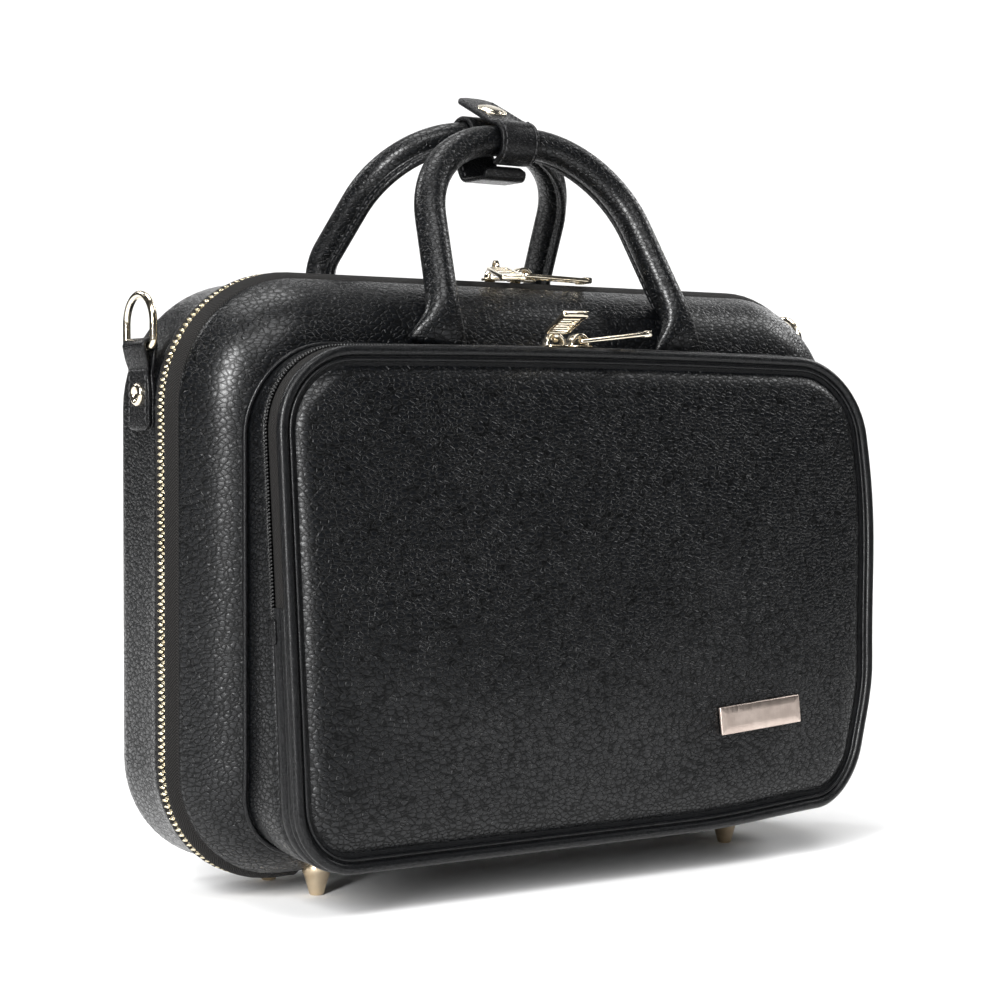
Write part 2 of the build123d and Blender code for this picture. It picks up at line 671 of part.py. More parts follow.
def pocket_wall(outer_inset, wall, back_out, front_out):
    """Band of the pocket's side wall between two planes parallel to its panel."""
    root = Plane(origin=(0, 0, POCKET_MID_Z), x_dir=(1, 0, 0), z_dir=(0, -1, 0))
    reach = POCKET_REACH * WALL_OVERRUN
    with BuildPart() as band:
        extrude(pocket_outline(root, outer_inset, POCKET_HEIGHT), amount=reach)
        extrude(pocket_outline(root, outer_inset + wall, POCKET_HEIGHT), amount=reach, mode=Mode.SUBTRACT)
        split(bisect_by=panel_plane(front_out), keep=Keep.BOTTOM)
        if back_out is not None:
            split(bisect_by=panel_plane(back_out), keep=Keep.TOP)
    return band.part


FOLD_GAP = CLEARANCE / 2
fold_above = Plane(origin=(0, 0, FOLD_Z + FOLD_GAP), z_dir=(0, 0, 1))
fold_below = Plane(origin=(0, 0, FOLD_Z - FOLD_GAP), z_dir=(0, 0, 1))
PIPING_RADIUS = PIPING_DIAMETER / 2
COIL_MIDDLE = -COIL_BEHIND - COIL_WIDTH
GUSSET_FRONT = -PIPING_RADIUS

with BuildPart() as gusset_lower:
    add(pocket_wall(0, GUSSET_WALL, COIL_MIDDLE - COIL_WIDTH, GUSSET_FRONT))
    split(bisect_by=fold_below, keep=Keep.BOTTOM)

with BuildPart() as pocket_gusset:
    add(pocket_wall(0, GUSSET_WALL, None, COIL_MIDDLE - COIL_WIDTH))
    add(front_skin(0), mode=Mode.SUBTRACT)
    add(gusset_lower.part)
pocket_gusset.part.label = "pocket_gusset"
export_step(pocket_gusset.part, "parts/pocket_gusset.step")

with BuildPart() as pocket_bead:
    add(pocket_wall(-BEAD_HEIGHT, BEAD_HEIGHT, None, COIL_MIDDLE))
    add(front_skin(BEAD_HEIGHT), mode=Mode.INTERSECT)
    add(front_skin(0), mode=Mode.SUBTRACT)
pocket_bead.part.label = "pocket_bead"
export_step(pocket_bead.part, "parts/pocket_bead.step")

with BuildPart() as pocket_zip_inner:
    add(pocket_wall(-COIL_PROUD, COIL_PROUD + GUSSET_WALL, COIL_MIDDLE - COIL_WIDTH, COIL_MIDDLE - SEAM_GAP))
    split(bisect_by=fold_above, keep=Keep.TOP)
pocket_zip_inner.part.label = "pocket_zip_inner"
export_step(pocket_zip_inner.part, "parts/pocket_zip_inner.step")

with BuildPart() as pocket_zip_outer:
    add(pocket_wall(-COIL_PROUD, COIL_PROUD + GUSSET_WALL, COIL_MIDDLE + SEAM_GAP, COIL_MIDDLE + COIL_WIDTH))
    add(pocket_wall(0, POCKET_TAPE_THICKNESS, COIL_MIDDLE + COIL_WIDTH, GUSSET_FRONT))
    split(bisect_by=fold_above, keep=Keep.TOP)
pocket_zip_outer.part.label = "pocket_zip_outer"
export_step(pocket_zip_outer.part, "parts/pocket_zip_outer.step")

with BuildPart() as pocket_panel:
    extrude(pocket_outline(panel_plane(0), PIPING_DIAMETER, LEANED_HEIGHT), amount=PANEL_THICKNESS)
    panel_front = pocket_panel.faces().sort_by(Axis((0, 0, 0), panel_plane(0).z_dir))[-1]
    fillet(panel_front.edges(), PANEL_EDGE_ROUND)
panel_whole = pocket_panel.part

with BuildPart() as piping_whole:
    extrude(pocket_outline(panel_plane(-PIPING_RADIUS), 0, LEANED_HEIGHT), amount=PIPING_DIAMETER)
    extrude(
        pocket_outline(panel_plane(-PIPING_RADIUS), PIPING_DIAMETER, LEANED_HEIGHT),
        amount=PIPING_DIAMETER,
        mode=Mode.SUBTRACT,
    )
    outward = Axis((0, 0, 0), panel_plane(0).z_dir)
    fillet(piping_whole.faces().sort_by(outward)[-1].edges(), PIPING_RADIUS * PIPING_SHARE)

for keep, plane, place in ((Keep.TOP, fold_above, "upper"), (Keep.BOTTOM, fold_below, "lower")):
    with BuildPart() as panel_leaf:
        add(panel_whole)
        split(bisect_by=plane, keep=keep)
    panel_leaf.part.label = "pocket_panel_" + place
    export_step(panel_leaf.part, "parts/pocket_panel_" + place + ".step")

    with BuildPart() as piping_leaf:
        add(piping_whole.part)
        split(bisect_by=plane, keep=keep)
    piping_leaf.part.label = "pocket_piping_" + place
    export_step(piping_leaf.part, "parts/pocket_piping_" + place + ".step")

with BuildPart() as pocket_zip_tabs:
    add(
        pocket_wall(
            -POCKET_TAB_THICKNESS,
            POCKET_TAB_THICKNESS,
            COIL_MIDDLE - 2 * COIL_WIDTH,
            COIL_MIDDLE + 2 * COIL_WIDTH,
        )
    )
    split(bisect_by=fold_below, keep=Keep.BOTTOM)
    split(bisect_by=fold_below.offset(-POCKET_TAB_LENGTH), keep=Keep.TOP)
pocket_zip_tabs.part.label = "pocket_zip_tabs"
export_step(pocket_zip_tabs.part, "parts/pocket_zip_tabs.step")

# Bare plate on the lower right of the panel
plate_rise = (PLATE_Z - POCKET_MID_Z) / cos(lean)
with BuildPart() as name_plate:
    with BuildSketch(panel_plane(PANEL_THICKNESS)):
        with Locations(Location((PLATE_X, plate_rise, 0), (0, 0, PLATE_TURN))):
            Rectangle(PLATE_WIDTH, PLATE_HEIGHT)
    extrude(amount=PLATE_THICKNESS)
    outward = Axis((0, 0, 0), panel_plane(0).z_dir)
    chamfer(name_plate.faces().sort_by(outward)[-1].edges(), PLATE_BEVEL)
name_plate.part.label = "name_plate"
export_step(name_plate.part, "parts/name_plate.step")


# Zip sliders: a plate over the teeth, a flange on the half that carries it, and a bridge
def slider(base, drop):
    """Slider on a base plane whose X runs along the zip and whose Z points out of it."""
    with BuildPart() as body:
        with BuildSketch(base.offset(CLEARANCE)):
            RectangleRounded(SLIDER_LENGTH, SLIDER_WIDTH, SLIDER_CORNER)
        extrude(amount=SLIDER_PLATE)
        with BuildSketch(base.offset(CLEARANCE)):
            with Locations((0, (SLIDER_WIDTH - FLANGE_WIDTH) / 2)):
                Rectangle(SLIDER_LENGTH - FLANGE_SHORTER, FLANGE_WIDTH)
        extrude(amount=-drop)
        crown_origin = base.offset(CLEARANCE + SLIDER_PLATE).origin
        crown = Plane(origin=crown_origin, x_dir=base.x_dir, z_dir=-base.y_dir)
        with BuildSketch(crown):
            Circle(BRIDGE_HEIGHT)
            Circle(BRIDGE_HEIGHT - BRIDGE_THICKNESS, mode=Mode.SUBTRACT)
            Rectangle(
                2 * BRIDGE_HEIGHT,
                BRIDGE_HEIGHT,
                align=(Align.CENTER, Align.MAX),
                mode=Mode.SUBTRACT,
            )
        extrude(amount=BRIDGE_WIDTH / 2, both=True)
    return body.part


def ladder(plane, start, length):
    """Flat frame with a row of slots, lying along the plane's X from start."""
    slot_span = length - PULL_RAIL
    pitch = slot_span / PULL_SLOTS
    with BuildSketch(plane) as frame:
        with Locations((start + length / 2, 0)):
            RectangleRounded(length, PULL_WIDTH, PULL_CORNER)
        for index in range(PULL_SLOTS):
            with Locations((start + PULL_RAIL + pitch * (index + 0.5) - PULL_RAIL / 2, 0)):
                RectangleRounded(
                    pitch - PULL_RAIL,
                    PULL_WIDTH - 2 * PULL_RAIL,
                    SLOT_CORNER,
                    mode=Mode.SUBTRACT,
                )
    return frame.sketch


def bar_pull(plane):
    """Pull whose first cross-bar runs through the bridge, along the plane's Y."""
    with BuildPart() as pull:
        extrude(ladder(plane, -PULL_RAIL / 2, PULL_LENGTH), amount=PULL_THICKNESS / 2, both=True)
    return pull.part


def eye_pull(plane):
    """Pull with an eye that hangs on the bridge and turns about the plane's Y."""
    with BuildPart() as pull:
        eye_plane = Plane(origin=plane.origin, x_dir=plane.x_dir, z_dir=-plane.y_dir)
        with BuildSketch(eye_plane):
            Circle(EYE_RADIUS)
            Circle(EYE_HOLE, mode=Mode.SUBTRACT)
        extrude(amount=EYE_WIDTH / 2, both=True)
        blade = ladder(plane, EYE_RADIUS - EYE_OVERLAP, PULL_LENGTH - EYE_RADIUS)
        extrude(blade, amount=PULL_THICKNESS / 2, both=True)
    return pull.part


def aimed_plane(origin, yaw, pitch):
    """Plane whose X points along yaw (from +X towards +Y) and is raised by pitch."""
    heading = radians(yaw)
    rise = radians(pitch)
    return Plane(
        origin=origin,
        x_dir=(cos(heading) * cos(rise), sin(heading) * cos(rise), sin(rise)),
        z_dir=(-cos(heading) * sin(rise), -sin(heading) * sin(rise), cos(rise)),
    )


def bridge_centre(base):
    """Middle of the opening under the bridge."""
    return base.offset(CLEARANCE + SLIDER_PLATE + PULL_THICKNESS / 2 + CLEARANCE + BAR_RISE).origin


def bridge_bar(base):
    """Middle of the bridge's upper bar."""
    return base.offset(CLEARANCE + SLIDER_PLATE + BRIDGE_HEIGHT - BRIDGE_THICKNESS / 2).origin


def main_base(x):
    """Base of a main slider, on the ridge of the teeth."""
    return Plane(origin=(x, 0, ZIP_TOP_Z), x_dir=(1, 0, 0), z_dir=(0, 0, 1))


coil_y = -POCKET_REACH + (POCKET_TOP_Z - POCKET_MID_Z) * sin(lean) / cos(lean) - COIL_MIDDLE


def pocket_base(x):
    """Base of a pocket slider, above the coil along the top of the pocket."""
    height = POCKET_TOP_Z + COIL_PROUD + POCKET_SLIDER_LIFT
    return Plane(origin=(x, coil_y, height), x_dir=(1, 0, 0), z_dir=(0, 0, 1))


main_left = main_base(MAIN_SLIDER_LEFT_X)
main_right = main_base(MAIN_SLIDER_RIGHT_X)
pocket_left = pocket_base(POCKET_SLIDER_LEFT_X)
pocket_right = pocket_base(POCKET_SLIDER_RIGHT_X)
MAIN_FLANGE_DROP = TEETH_HEIGHT - CLEARANCE
POCKET_FLANGE_DROP = COIL_PROUD + POCKET_SLIDER_LIFT
SLIDERS = (
    ("main_slider_left", main_left, MAIN_FLANGE_DROP),
    ("main_slider_right", main_right, MAIN_FLANGE_DROP),
    ("pocket_slider_left", pocket_left, POCKET_FLANGE_DROP),
    ("pocket_slider_right", pocket_right, POCKET_FLANGE_DROP),
)
for name, base, flange_drop in SLIDERS:
    with BuildPart() as zip_slider:
        add(slider(base, flange_drop))
    zip_slider.part.label = name
    export_step(zip_slider.part, "parts/" + name + ".step")

PULLS = (
    ("main_pull_left", eye_pull(aimed_plane(bridge_bar(main_left), MAIN_LEFT_YAW, MAIN_LEFT_PITCH))),
    ("main_pull_right", bar_pull(aimed_plane(bridge_centre(main_right), MAIN_RIGHT_YAW, MAIN_RIGHT_PITCH))),
    ("pocket_pull_left", eye_pull(aimed_plane(bridge_bar(pocket_left), POCKET_LEFT_YAW, POCKET_LEFT_PITCH))),
    (
        "pocket_pull_right",
        bar_pull(aimed_plane(bridge_centre(pocket_right), POCKET_RIGHT_YAW, POCKET_RIGHT_PITCH)),
    ),
)
for name, pull_solid in PULLS:
    with BuildPart() as zip_pull:
        add(pull_solid)
    zip_pull.part.label = name
    export_step(zip_pull.part, "parts/" + name + ".step")

print("front handle pivot", round(FRONT_PIVOT_Y, 2), FRONT_PIVOT_Z)
print("back handle pivot", round(BACK_PIVOT_Y, 2), BACK_PIVOT_Z)
print("flap hinge", FLAP_HINGE_Y, round(FLAP_HINGE_Z, 2))
print("ring bar", round(RING_X, 2), TAB_Y, RING_BAR_Z)
fold_y = -POCKET_REACH + (FOLD_Z - POCKET_MID_Z) * sin(lean) / cos(lean) - PANEL_THICKNESS / cos(lean)
print("panel fold", round(fold_y, 2), FOLD_Z)
for name, base in (("main", main_left), ("pocket", pocket_left)):
    print(name, "slider bridge", bridge_centre(base), bridge_bar(base))
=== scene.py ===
# %% [markdown]
# # An oboe case in black pebbled leather
# The case opens like a book along its bottom edge: a metal zip runs round the other three sides. This lesson
# dresses the CAD model of that case with leather, cloth and metal, piece by piece. Everything is in metres, in
# the frame of the CAD model: X to the right, -Y to the front, Z up, with the feet on Z = 0.

from math import cos, exp, hypot, pi, radians, sin, sqrt, tan

import bmesh
import bpy
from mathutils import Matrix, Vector, noise


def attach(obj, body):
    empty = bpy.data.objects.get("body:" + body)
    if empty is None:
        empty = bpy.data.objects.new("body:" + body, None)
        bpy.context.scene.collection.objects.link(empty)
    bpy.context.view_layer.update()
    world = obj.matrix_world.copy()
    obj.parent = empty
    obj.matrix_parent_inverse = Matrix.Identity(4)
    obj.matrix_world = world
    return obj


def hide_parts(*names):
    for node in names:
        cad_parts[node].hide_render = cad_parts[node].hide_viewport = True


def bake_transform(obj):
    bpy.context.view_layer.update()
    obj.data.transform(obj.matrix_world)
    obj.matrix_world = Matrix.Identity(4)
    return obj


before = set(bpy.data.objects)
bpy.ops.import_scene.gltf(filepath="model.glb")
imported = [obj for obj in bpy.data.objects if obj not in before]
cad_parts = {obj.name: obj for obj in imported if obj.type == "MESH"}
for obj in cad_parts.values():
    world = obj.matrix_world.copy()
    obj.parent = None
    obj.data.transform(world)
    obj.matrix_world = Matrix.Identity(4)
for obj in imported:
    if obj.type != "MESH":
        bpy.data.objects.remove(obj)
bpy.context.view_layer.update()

# %% [markdown]
# Sizes on a leather case are quoted in millimetres, so the measurements below are too. One helper turns a
# millimetre point into Blender's metres.

# %% Measurements in millimetres
MM = 0.001
# A rounded rectangle: width, height, lowest Z, top corner radius, bottom corner radius
CASE = (307.6, 220.0, 6.0, 50.0, 43.0)
POCKET = (268.4, 177.7, 19.8, 31.0, 23.0)
CASE_MID_Z = CASE[2] + CASE[1] / 2
POCKET_MID_Z = POCKET[2] + POCKET[1] / 2
# How far the shells lie inside the zip's ridge, and how thick they are
SHELL_IN, SHELL_WALL = 3.0, 5.0
BACK_DEPTH, FRONT_DEPTH, FRONT_ROUND = 47.0, 30.5, 28.0
# The pocket's front plane: distance from the seam at mid height, and lean
POCKET_REACH, POCKET_LEAN = 53.8, radians(4.9)
FOLD_Z = 104.0
ZIP_END_X = 102.0
# The back half lies on the +Y side of the seam, the front half on the -Y side
HALVES = ((1, "back"), (-1, "front"))


def mm(*point):
    """A point given in millimetres, as a vector in metres."""
    return Vector(point) * MM


print("the case's zip loop is", CASE[:2], "mm, the pocket", POCKET[:2], "mm")

# %% [markdown]
# Most of the case follows one outline: a rectangle with large round corners. A bag maker cuts every strip, tape
# and shell to it. The helper walks round that outline from the middle of the bottom edge, and can step inwards.
# Straight runs and corners keep the same number of points at every step, so loops can be joined into a surface.

# %% Walk round a rounded rectangle
CORNER_STEPS = 16
SIDE_STEP = 6.0
SMALLEST_CORNER = 0.02


def outline(shape, inset=0.0, gap=0.0):
    """Points (x, z) and outward directions round the shape; gap leaves the bottom open either side of X = 0."""
    width, height, low, top_radius, bottom_radius = shape
    half, base, top = width / 2 - inset, low + inset, low + height - inset
    rt, rb = max(top_radius - inset, SMALLEST_CORNER), max(bottom_radius - inset, SMALLEST_CORNER)
    places = []

    def run(x0, z0, x1, z1, out, full):
        steps = max(2, round(full / SIDE_STEP))
        for index in range(steps):
            t = index / steps
            places.append((x0 + (x1 - x0) * t, z0 + (z1 - z0) * t, out[0], out[1]))

    def corner(cx, cz, radius, start):
        for index in range(CORNER_STEPS):
            angle = radians(start - 90 * index / CORNER_STEPS)
            places.append((cx + radius * cos(angle), cz + radius * sin(angle), cos(angle), sin(angle)))

    bottom_run = width / 2 - bottom_radius - gap
    run(-gap, base, -(half - rb), base, (0, -1), bottom_run)
    corner(-(half - rb), base + rb, rb, 270)
    run(-half, base + rb, -half, top - rt, (-1, 0), height - top_radius - bottom_radius)
    corner(-(half - rt), top - rt, rt, 180)
    run(-(half - rt), top, half - rt, top, (0, 1), width - 2 * top_radius)
    corner(half - rt, top - rt, rt, 90)
    run(half, top - rt, half, base + rb, (1, 0), height - top_radius - bottom_radius)
    corner(half - rb, base + rb, rb, 0)
    run(half - rb, base, gap, base, (0, -1), bottom_run)
    if gap:
        places.append((gap, base, 0, -1))
    return places


def case_row(inset, y, gap=0.0):
    """The walk round the case at one depth, as points in metres."""
    return [mm(x, y, z) for x, z, _, _ in outline(CASE, inset, gap)]


print("points round the case:", len(outline(CASE)))

# %% [markdown]
# A skin is a grid of faces between rows of points. Each face also gets two lengths in metres as its UV: how far
# along the row it is, and how far across. Weaves and stitches use them, so their size is real everywhere.


# %% Turn rows of points into a skin
def new_grid():
    """Empty bmesh with a UV layer for real lengths."""
    grid = bmesh.new()
    grid.loops.layers.uv.new("lengths")
    return grid


def loft(rows, wrap=False, closed=False, cap=False, grid=None):
    """Faces between rows: wrap joins each row's ends, closed the last row to the first, cap fills both ends."""
    if grid is None:
        grid = new_grid()
    lengths = grid.loops.layers.uv["lengths"]
    verts = [[grid.verts.new(point) for point in row] for row in rows]
    middle = rows[len(rows) // 2]
    along = [0.0]
    for here, there in zip(middle, middle[1:] + middle[:1]):
        along.append(along[-1] + (there - here).length)
    across = [0.0]
    for here, there in zip(rows, rows[1:] + rows[:1]):
        across.append(across[-1] + (there[0] - here[0]).length)
    count = len(middle)
    for r in range(len(rows) if closed else len(rows) - 1):
        above = (r + 1) % len(rows)
        for c in range(count if wrap else count - 1):
            beside = (c + 1) % count
            face = grid.faces.new((verts[r][c], verts[r][beside], verts[above][beside], verts[above][c]))
            spots = ((along[c], across[r]), (along[c + 1], across[r]))
            spots += ((along[c + 1], across[r + 1]), (along[c], across[r + 1]))
            for corner, spot in zip(face.loops, spots):
                corner[lengths].uv = spot
    if cap:
        grid.faces.new(verts[0][::-1])
        grid.faces.new(verts[-1])
    return grid


def make_mesh(name, grid, finish):
    """Smooth mesh from a bmesh, with its material."""
    mesh = bpy.data.meshes.new(name)
    grid.to_mesh(mesh)
    grid.free()
    mesh.shade_smooth()
    mesh.materials.append(finish)
    return mesh


def add_object(name, data):
    """New object in the scene."""
    thing = bpy.data.objects.new(name, data)
    bpy.context.scene.collection.objects.link(thing)
    return thing


def make_piece(name, grid, finish, body=None, replaces=()):
    """Turn a bmesh into an object with its material and body, and hide the parts it replaces."""
    bmesh.ops.recalc_face_normals(grid, faces=grid.faces)
    piece = add_object(name, make_mesh(name, grid, finish))
    if body:
        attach(piece, body)
    if replaces:
        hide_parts(*replaces)
    print(name, len(piece.data.polygons), "faces")
    return piece


# %% [markdown]
# ## Finishes
# The real case has pebbled leather, smooth edge leather, charcoal zip tape, plush, nylon, thread and four metals.
# Grain, weave and wear appear on several of them, so each is a node group with real sizes as its inputs.


# %% Helpers for node groups
def new_group(name, inputs, outputs):
    """Empty shader node group with float inputs (with their defaults) and float outputs."""
    tree = bpy.data.node_groups.new(name, "ShaderNodeTree")
    for label, value in inputs:
        tree.interface.new_socket(label, in_out="INPUT", socket_type="NodeSocketFloat").default_value = value
    for label in outputs:
        tree.interface.new_socket(label, in_out="OUTPUT", socket_type="NodeSocketFloat")
    return tree, tree.nodes.new("NodeGroupInput"), tree.nodes.new("NodeGroupOutput")


def add_node(tree, kind, inputs=None, **settings):
    """New node: settings gives its properties, inputs a value or another node's output for each input."""
    node = tree.nodes.new(kind)
    for key, value in settings.items():
        setattr(node, key, value)
    for key, value in (inputs or {}).items():
        if isinstance(value, bpy.types.NodeSocket):
            tree.links.new(value, node.inputs[key])
        else:
            node.inputs[key].default_value = value
    return node


def calculate(tree, operation, *operands, clamp=False):
    """Math node fed with sockets or numbers; returns its output."""
    node = add_node(tree, "ShaderNodeMath", dict(enumerate(operands)), operation=operation, use_clamp=clamp)
    return node.outputs[0]


def spread(tree, value, low, high, new_low=0.0, new_high=1.0):
    """Smooth step of value from low..high to new_low..new_high."""
    inputs = {"Value": value, "From Min": low, "From Max": high, "To Min": new_low, "To Max": new_high}
    return add_node(tree, "ShaderNodeMapRange", inputs, interpolation_type="SMOOTHSTEP").outputs["Result"]


# %% [markdown]
# Pebbled leather is pressed with a plate of rounded cells. A Voronoi texture measured from the middle of each
# cell gives a field of small cushions with sharp valleys; bending its coordinates with noise takes away the
# honeycomb look, and a finer layer adds the creases that lie across each pebble.

# %% Pebbled grain
grain_group, grain_in, grain_out = new_group(
    "pebbled_grain", [("Pebble Size", 0.0017), ("Bend", 0.45), ("Fine Share", 0.06)], ["Height", "Pebble"]
)
tree = grain_group
place = add_node(tree, "ShaderNodeTexCoord").outputs["Object"]
stretched = add_node(tree, "ShaderNodeMapping", {"Vector": place, "Scale": (0.78, 0.78, 1.2)}).outputs[0]
cells_per_metre = calculate(tree, "DIVIDE", 1.0, grain_in.outputs["Pebble Size"])
bend_scale = calculate(tree, "MULTIPLY", cells_per_metre, 0.6)
bend = add_node(tree, "ShaderNodeTexNoise", {"Vector": stretched, "Scale": bend_scale, "Detail": 2.0})
centre = {0: bend.outputs["Color"], 1: (0.5, 0.5, 0.5)}
centred = add_node(tree, "ShaderNodeVectorMath", centre, operation="SUBTRACT").outputs[0]
reach = calculate(tree, "MULTIPLY", grain_in.outputs["Pebble Size"], grain_in.outputs["Bend"])
shift = add_node(tree, "ShaderNodeVectorMath", {0: centred, "Scale": reach}, operation="SCALE").outputs[0]
bent = add_node(tree, "ShaderNodeVectorMath", {0: stretched, 1: shift}, operation="ADD").outputs[0]


def cell_distance(scale, feature):
    """Distance from the middle or the edge of the grain's cells."""
    cells = add_node(grain_group, "ShaderNodeTexVoronoi", {"Vector": bent, "Scale": scale}, feature=feature)
    return cells.outputs["Distance"]


off_centre = calculate(tree, "DIVIDE", cell_distance(cells_per_metre, "F1"), 0.78, clamp=True)
dome = calculate(tree, "SUBTRACT", 1.0, calculate(tree, "MULTIPLY", off_centre, off_centre))
rim = spread(tree, cell_distance(cells_per_metre, "DISTANCE_TO_EDGE"), 0.0, 0.17)
pebble = calculate(tree, "MULTIPLY", rim, spread(tree, dome, 0.2, 1.0, 0.5, 1.0))
crease_scale = calculate(tree, "MULTIPLY", cells_per_metre, 2.6)
creases = spread(tree, cell_distance(crease_scale, "DISTANCE_TO_EDGE"), 0.0, 0.3)
fine_part = calculate(tree, "MULTIPLY", creases, grain_in.outputs["Fine Share"])
cloud = add_node(tree, "ShaderNodeTexNoise", {"Vector": place, "Scale": 45.0, "Detail": 3.0}).outputs["Fac"]
soft_cells = calculate(tree, "MULTIPLY", pebble, spread(tree, cloud, 0.3, 0.75, 0.75, 1.15))
tree.links.new(calculate(tree, "ADD", soft_cells, fine_part), grain_out.inputs["Height"])
tree.links.new(pebble, grain_out.inputs["Pebble"])
print("grain group nodes:", len(tree.nodes))

# %% [markdown]
# Zip tape is a narrow herringbone cloth. Along the tape the ribs slant one way, then the other. The UV lengths
# give the distance across the tape, and a zigzag of it, added to the distance along, makes the slanting ribs.

# %% Herringbone weave
weave_group, weave_in, weave_out = new_group(
    "herringbone_weave", [("Rib Pitch", 0.0011), ("Chevron Width", 0.0042)], ["Height", "Thread"]
)
tree = weave_group
lengths_uv = add_node(tree, "ShaderNodeUVMap", uv_map="lengths")
axes = add_node(tree, "ShaderNodeSeparateXYZ", {0: lengths_uv.outputs["UV"]})
zigzag = calculate(tree, "PINGPONG", axes.outputs["Y"], weave_in.outputs["Chevron Width"])
slant = calculate(tree, "ADD", axes.outputs["X"], calculate(tree, "MULTIPLY", zigzag, 1.1))
turns = calculate(tree, "MULTIPLY", calculate(tree, "DIVIDE", slant, weave_in.outputs["Rib Pitch"]), 2 * pi)
ribs = calculate(tree, "MULTIPLY_ADD", calculate(tree, "SINE", turns), 0.5, 0.5)
yarn = add_node(tree, "ShaderNodeTexCoord").outputs["Object"]
fuzz = add_node(tree, "ShaderNodeTexNoise", {"Vector": yarn, "Scale": 2600.0}).outputs["Fac"]
fuzzy_ribs = calculate(tree, "ADD", ribs, calculate(tree, "MULTIPLY", fuzz, 0.4))
tree.links.new(fuzzy_ribs, weave_out.inputs["Height"])
tree.links.new(ribs, weave_out.inputs["Thread"])
print("weave group nodes:", len(tree.nodes))

# %% [markdown]
# Metal and leather both show handling: fine scratches, and patches where the surface is a little duller. One
# group gives both, from a stretched noise and a slow one.

# %% Handling marks
marks_group, marks_in, marks_out = new_group(
    "handling_marks", [("Patch Scale", 60.0), ("Scratch Scale", 900.0)], ["Scratch", "Patch"]
)
tree = marks_group
spot = add_node(tree, "ShaderNodeTexCoord").outputs["Object"]
squeezed = add_node(tree, "ShaderNodeMapping", {"Vector": spot, "Scale": (1.0, 1.0, 0.06)}).outputs[0]
scratch_inputs = {"Vector": squeezed, "Scale": marks_in.outputs["Scratch Scale"], "Detail": 4.0}
scratch = add_node(tree, "ShaderNodeTexNoise", scratch_inputs).outputs["Fac"]
patch_inputs = {"Vector": spot, "Scale": marks_in.outputs["Patch Scale"], "Detail": 5.0}
patch = add_node(tree, "ShaderNodeTexNoise", patch_inputs).outputs["Fac"]
tree.links.new(scratch, marks_out.inputs["Scratch"])
tree.links.new(spread(tree, patch, 0.35, 0.7), marks_out.inputs["Patch"])
print("marks group nodes:", len(tree.nodes))


# %% [markdown]
# Each finish places those groups with its own sizes, and keeps its constant values on the Principled shader.


# %% Start a material
def new_finish(name, **constants):
    """Material with a Principled shader whose constant inputs are set here."""
    finish = bpy.data.materials.new(name)
    finish.use_nodes = True
    shader = finish.node_tree.nodes["Principled BSDF"]
    for key, value in constants.items():
        shader.inputs[key.replace("_", " ")].default_value = value
    return finish, finish.node_tree, shader


def place_group(tree, group, inputs=None):
    """The group as a node in this material, with its inputs set."""
    return add_node(tree, "ShaderNodeGroup", inputs, node_tree=group)


def mix_colours(tree, factor, first, second):
    """Colour that goes from first to second with the factor."""
    inputs = {"Factor": factor, "A": (*first, 1), "B": (*second, 1)}
    return add_node(tree, "ShaderNodeMix", inputs, data_type="RGBA").outputs["Result"]


def dress(tree, shader, colour, roughness, height, depth):
    """Give the shader its colour, its roughness and a bump of a real depth in metres."""
    bump = add_node(tree, "ShaderNodeBump", {"Height": height, "Distance": depth, "Strength": 1.0})
    for label, output in (("Base Color", colour), ("Roughness", roughness), ("Normal", bump.outputs["Normal"])):
        tree.links.new(output, shader.inputs[label])


# %% [markdown]
# All the leather is black. Its colour is painted lighter on the pebble tops, a painted highlight, and darker in the
# creases, a painted shade; the tops are also smoother. The clear coat is a finisher's top coat of lacquer.


# %% Leather finishes
def leather_finish(name, pebble_size, depth, rough_low, rough_high, dark, light, coat):
    """Black leather: bumped grain, painted shade in the creases, and a painted highlight and smoother gloss on pebble
    tops.
    """
    finish, tree, shader = new_finish(name, Coat_Roughness=0.3, Specular_IOR_Level=0.12)
    grain = place_group(tree, grain_group, {"Pebble Size": pebble_size})
    pebble = grain.outputs["Pebble"]
    marks = place_group(tree, marks_group, {"Patch Scale": 38.0})
    worn = calculate(tree, "MULTIPLY", marks.outputs["Patch"], 0.35)
    smooth_tops = calculate(tree, "SUBTRACT", pebble, worn, clamp=True)
    roughness = spread(tree, smooth_tops, 0.0, 1.0, rough_high, rough_low)
    # base colour goes from dark in the creases to light on the pebble tops: painted shade and painted highlight
    dress(tree, shader, mix_colours(tree, pebble, dark, light), roughness, grain.outputs["Height"], depth)
    tree.links.new(spread(tree, pebble, 0.1, 0.8, 0.3 * coat, coat), shader.inputs["Coat Weight"])
    return finish


# the two colours of each leather are the painted crease shade and the painted pebble-top highlight
pebbled = leather_finish(
    "black_pebbled_leather", 0.0019, 0.00034, 0.22, 0.36, (0.0006, 0.0007, 0.0008), (0.002, 0.0024, 0.0032), 0.5
)
fine_leather = leather_finish(
    "black_strap_leather", 0.0012, 0.0002, 0.26, 0.42, (0.001, 0.001, 0.0012), (0.0036, 0.0038, 0.0045), 0.35
)
edge_leather = leather_finish(
    "black_binding_leather", 0.0009, 0.00008, 0.24, 0.38, (0.0015, 0.0016, 0.0018), (0.004, 0.0043, 0.005), 0.4
)
print("leathers:", pebbled.name, fine_leather.name, edge_leather.name)

# %% [markdown]
# The zip's tape is woven, and its colour is painted darker between the ribs, a painted shade. The plush of the
# lining is a short pile: its colour changes where a hand has stroked it, and a fine noise stands for the ends of
# the fibres.

# %% Cloth finishes
tape_cloth, tree, shader = new_finish("charcoal_zip_tape", Specular_IOR_Level=0.25)
weave = place_group(tree, weave_group)
ribs = weave.outputs["Thread"]
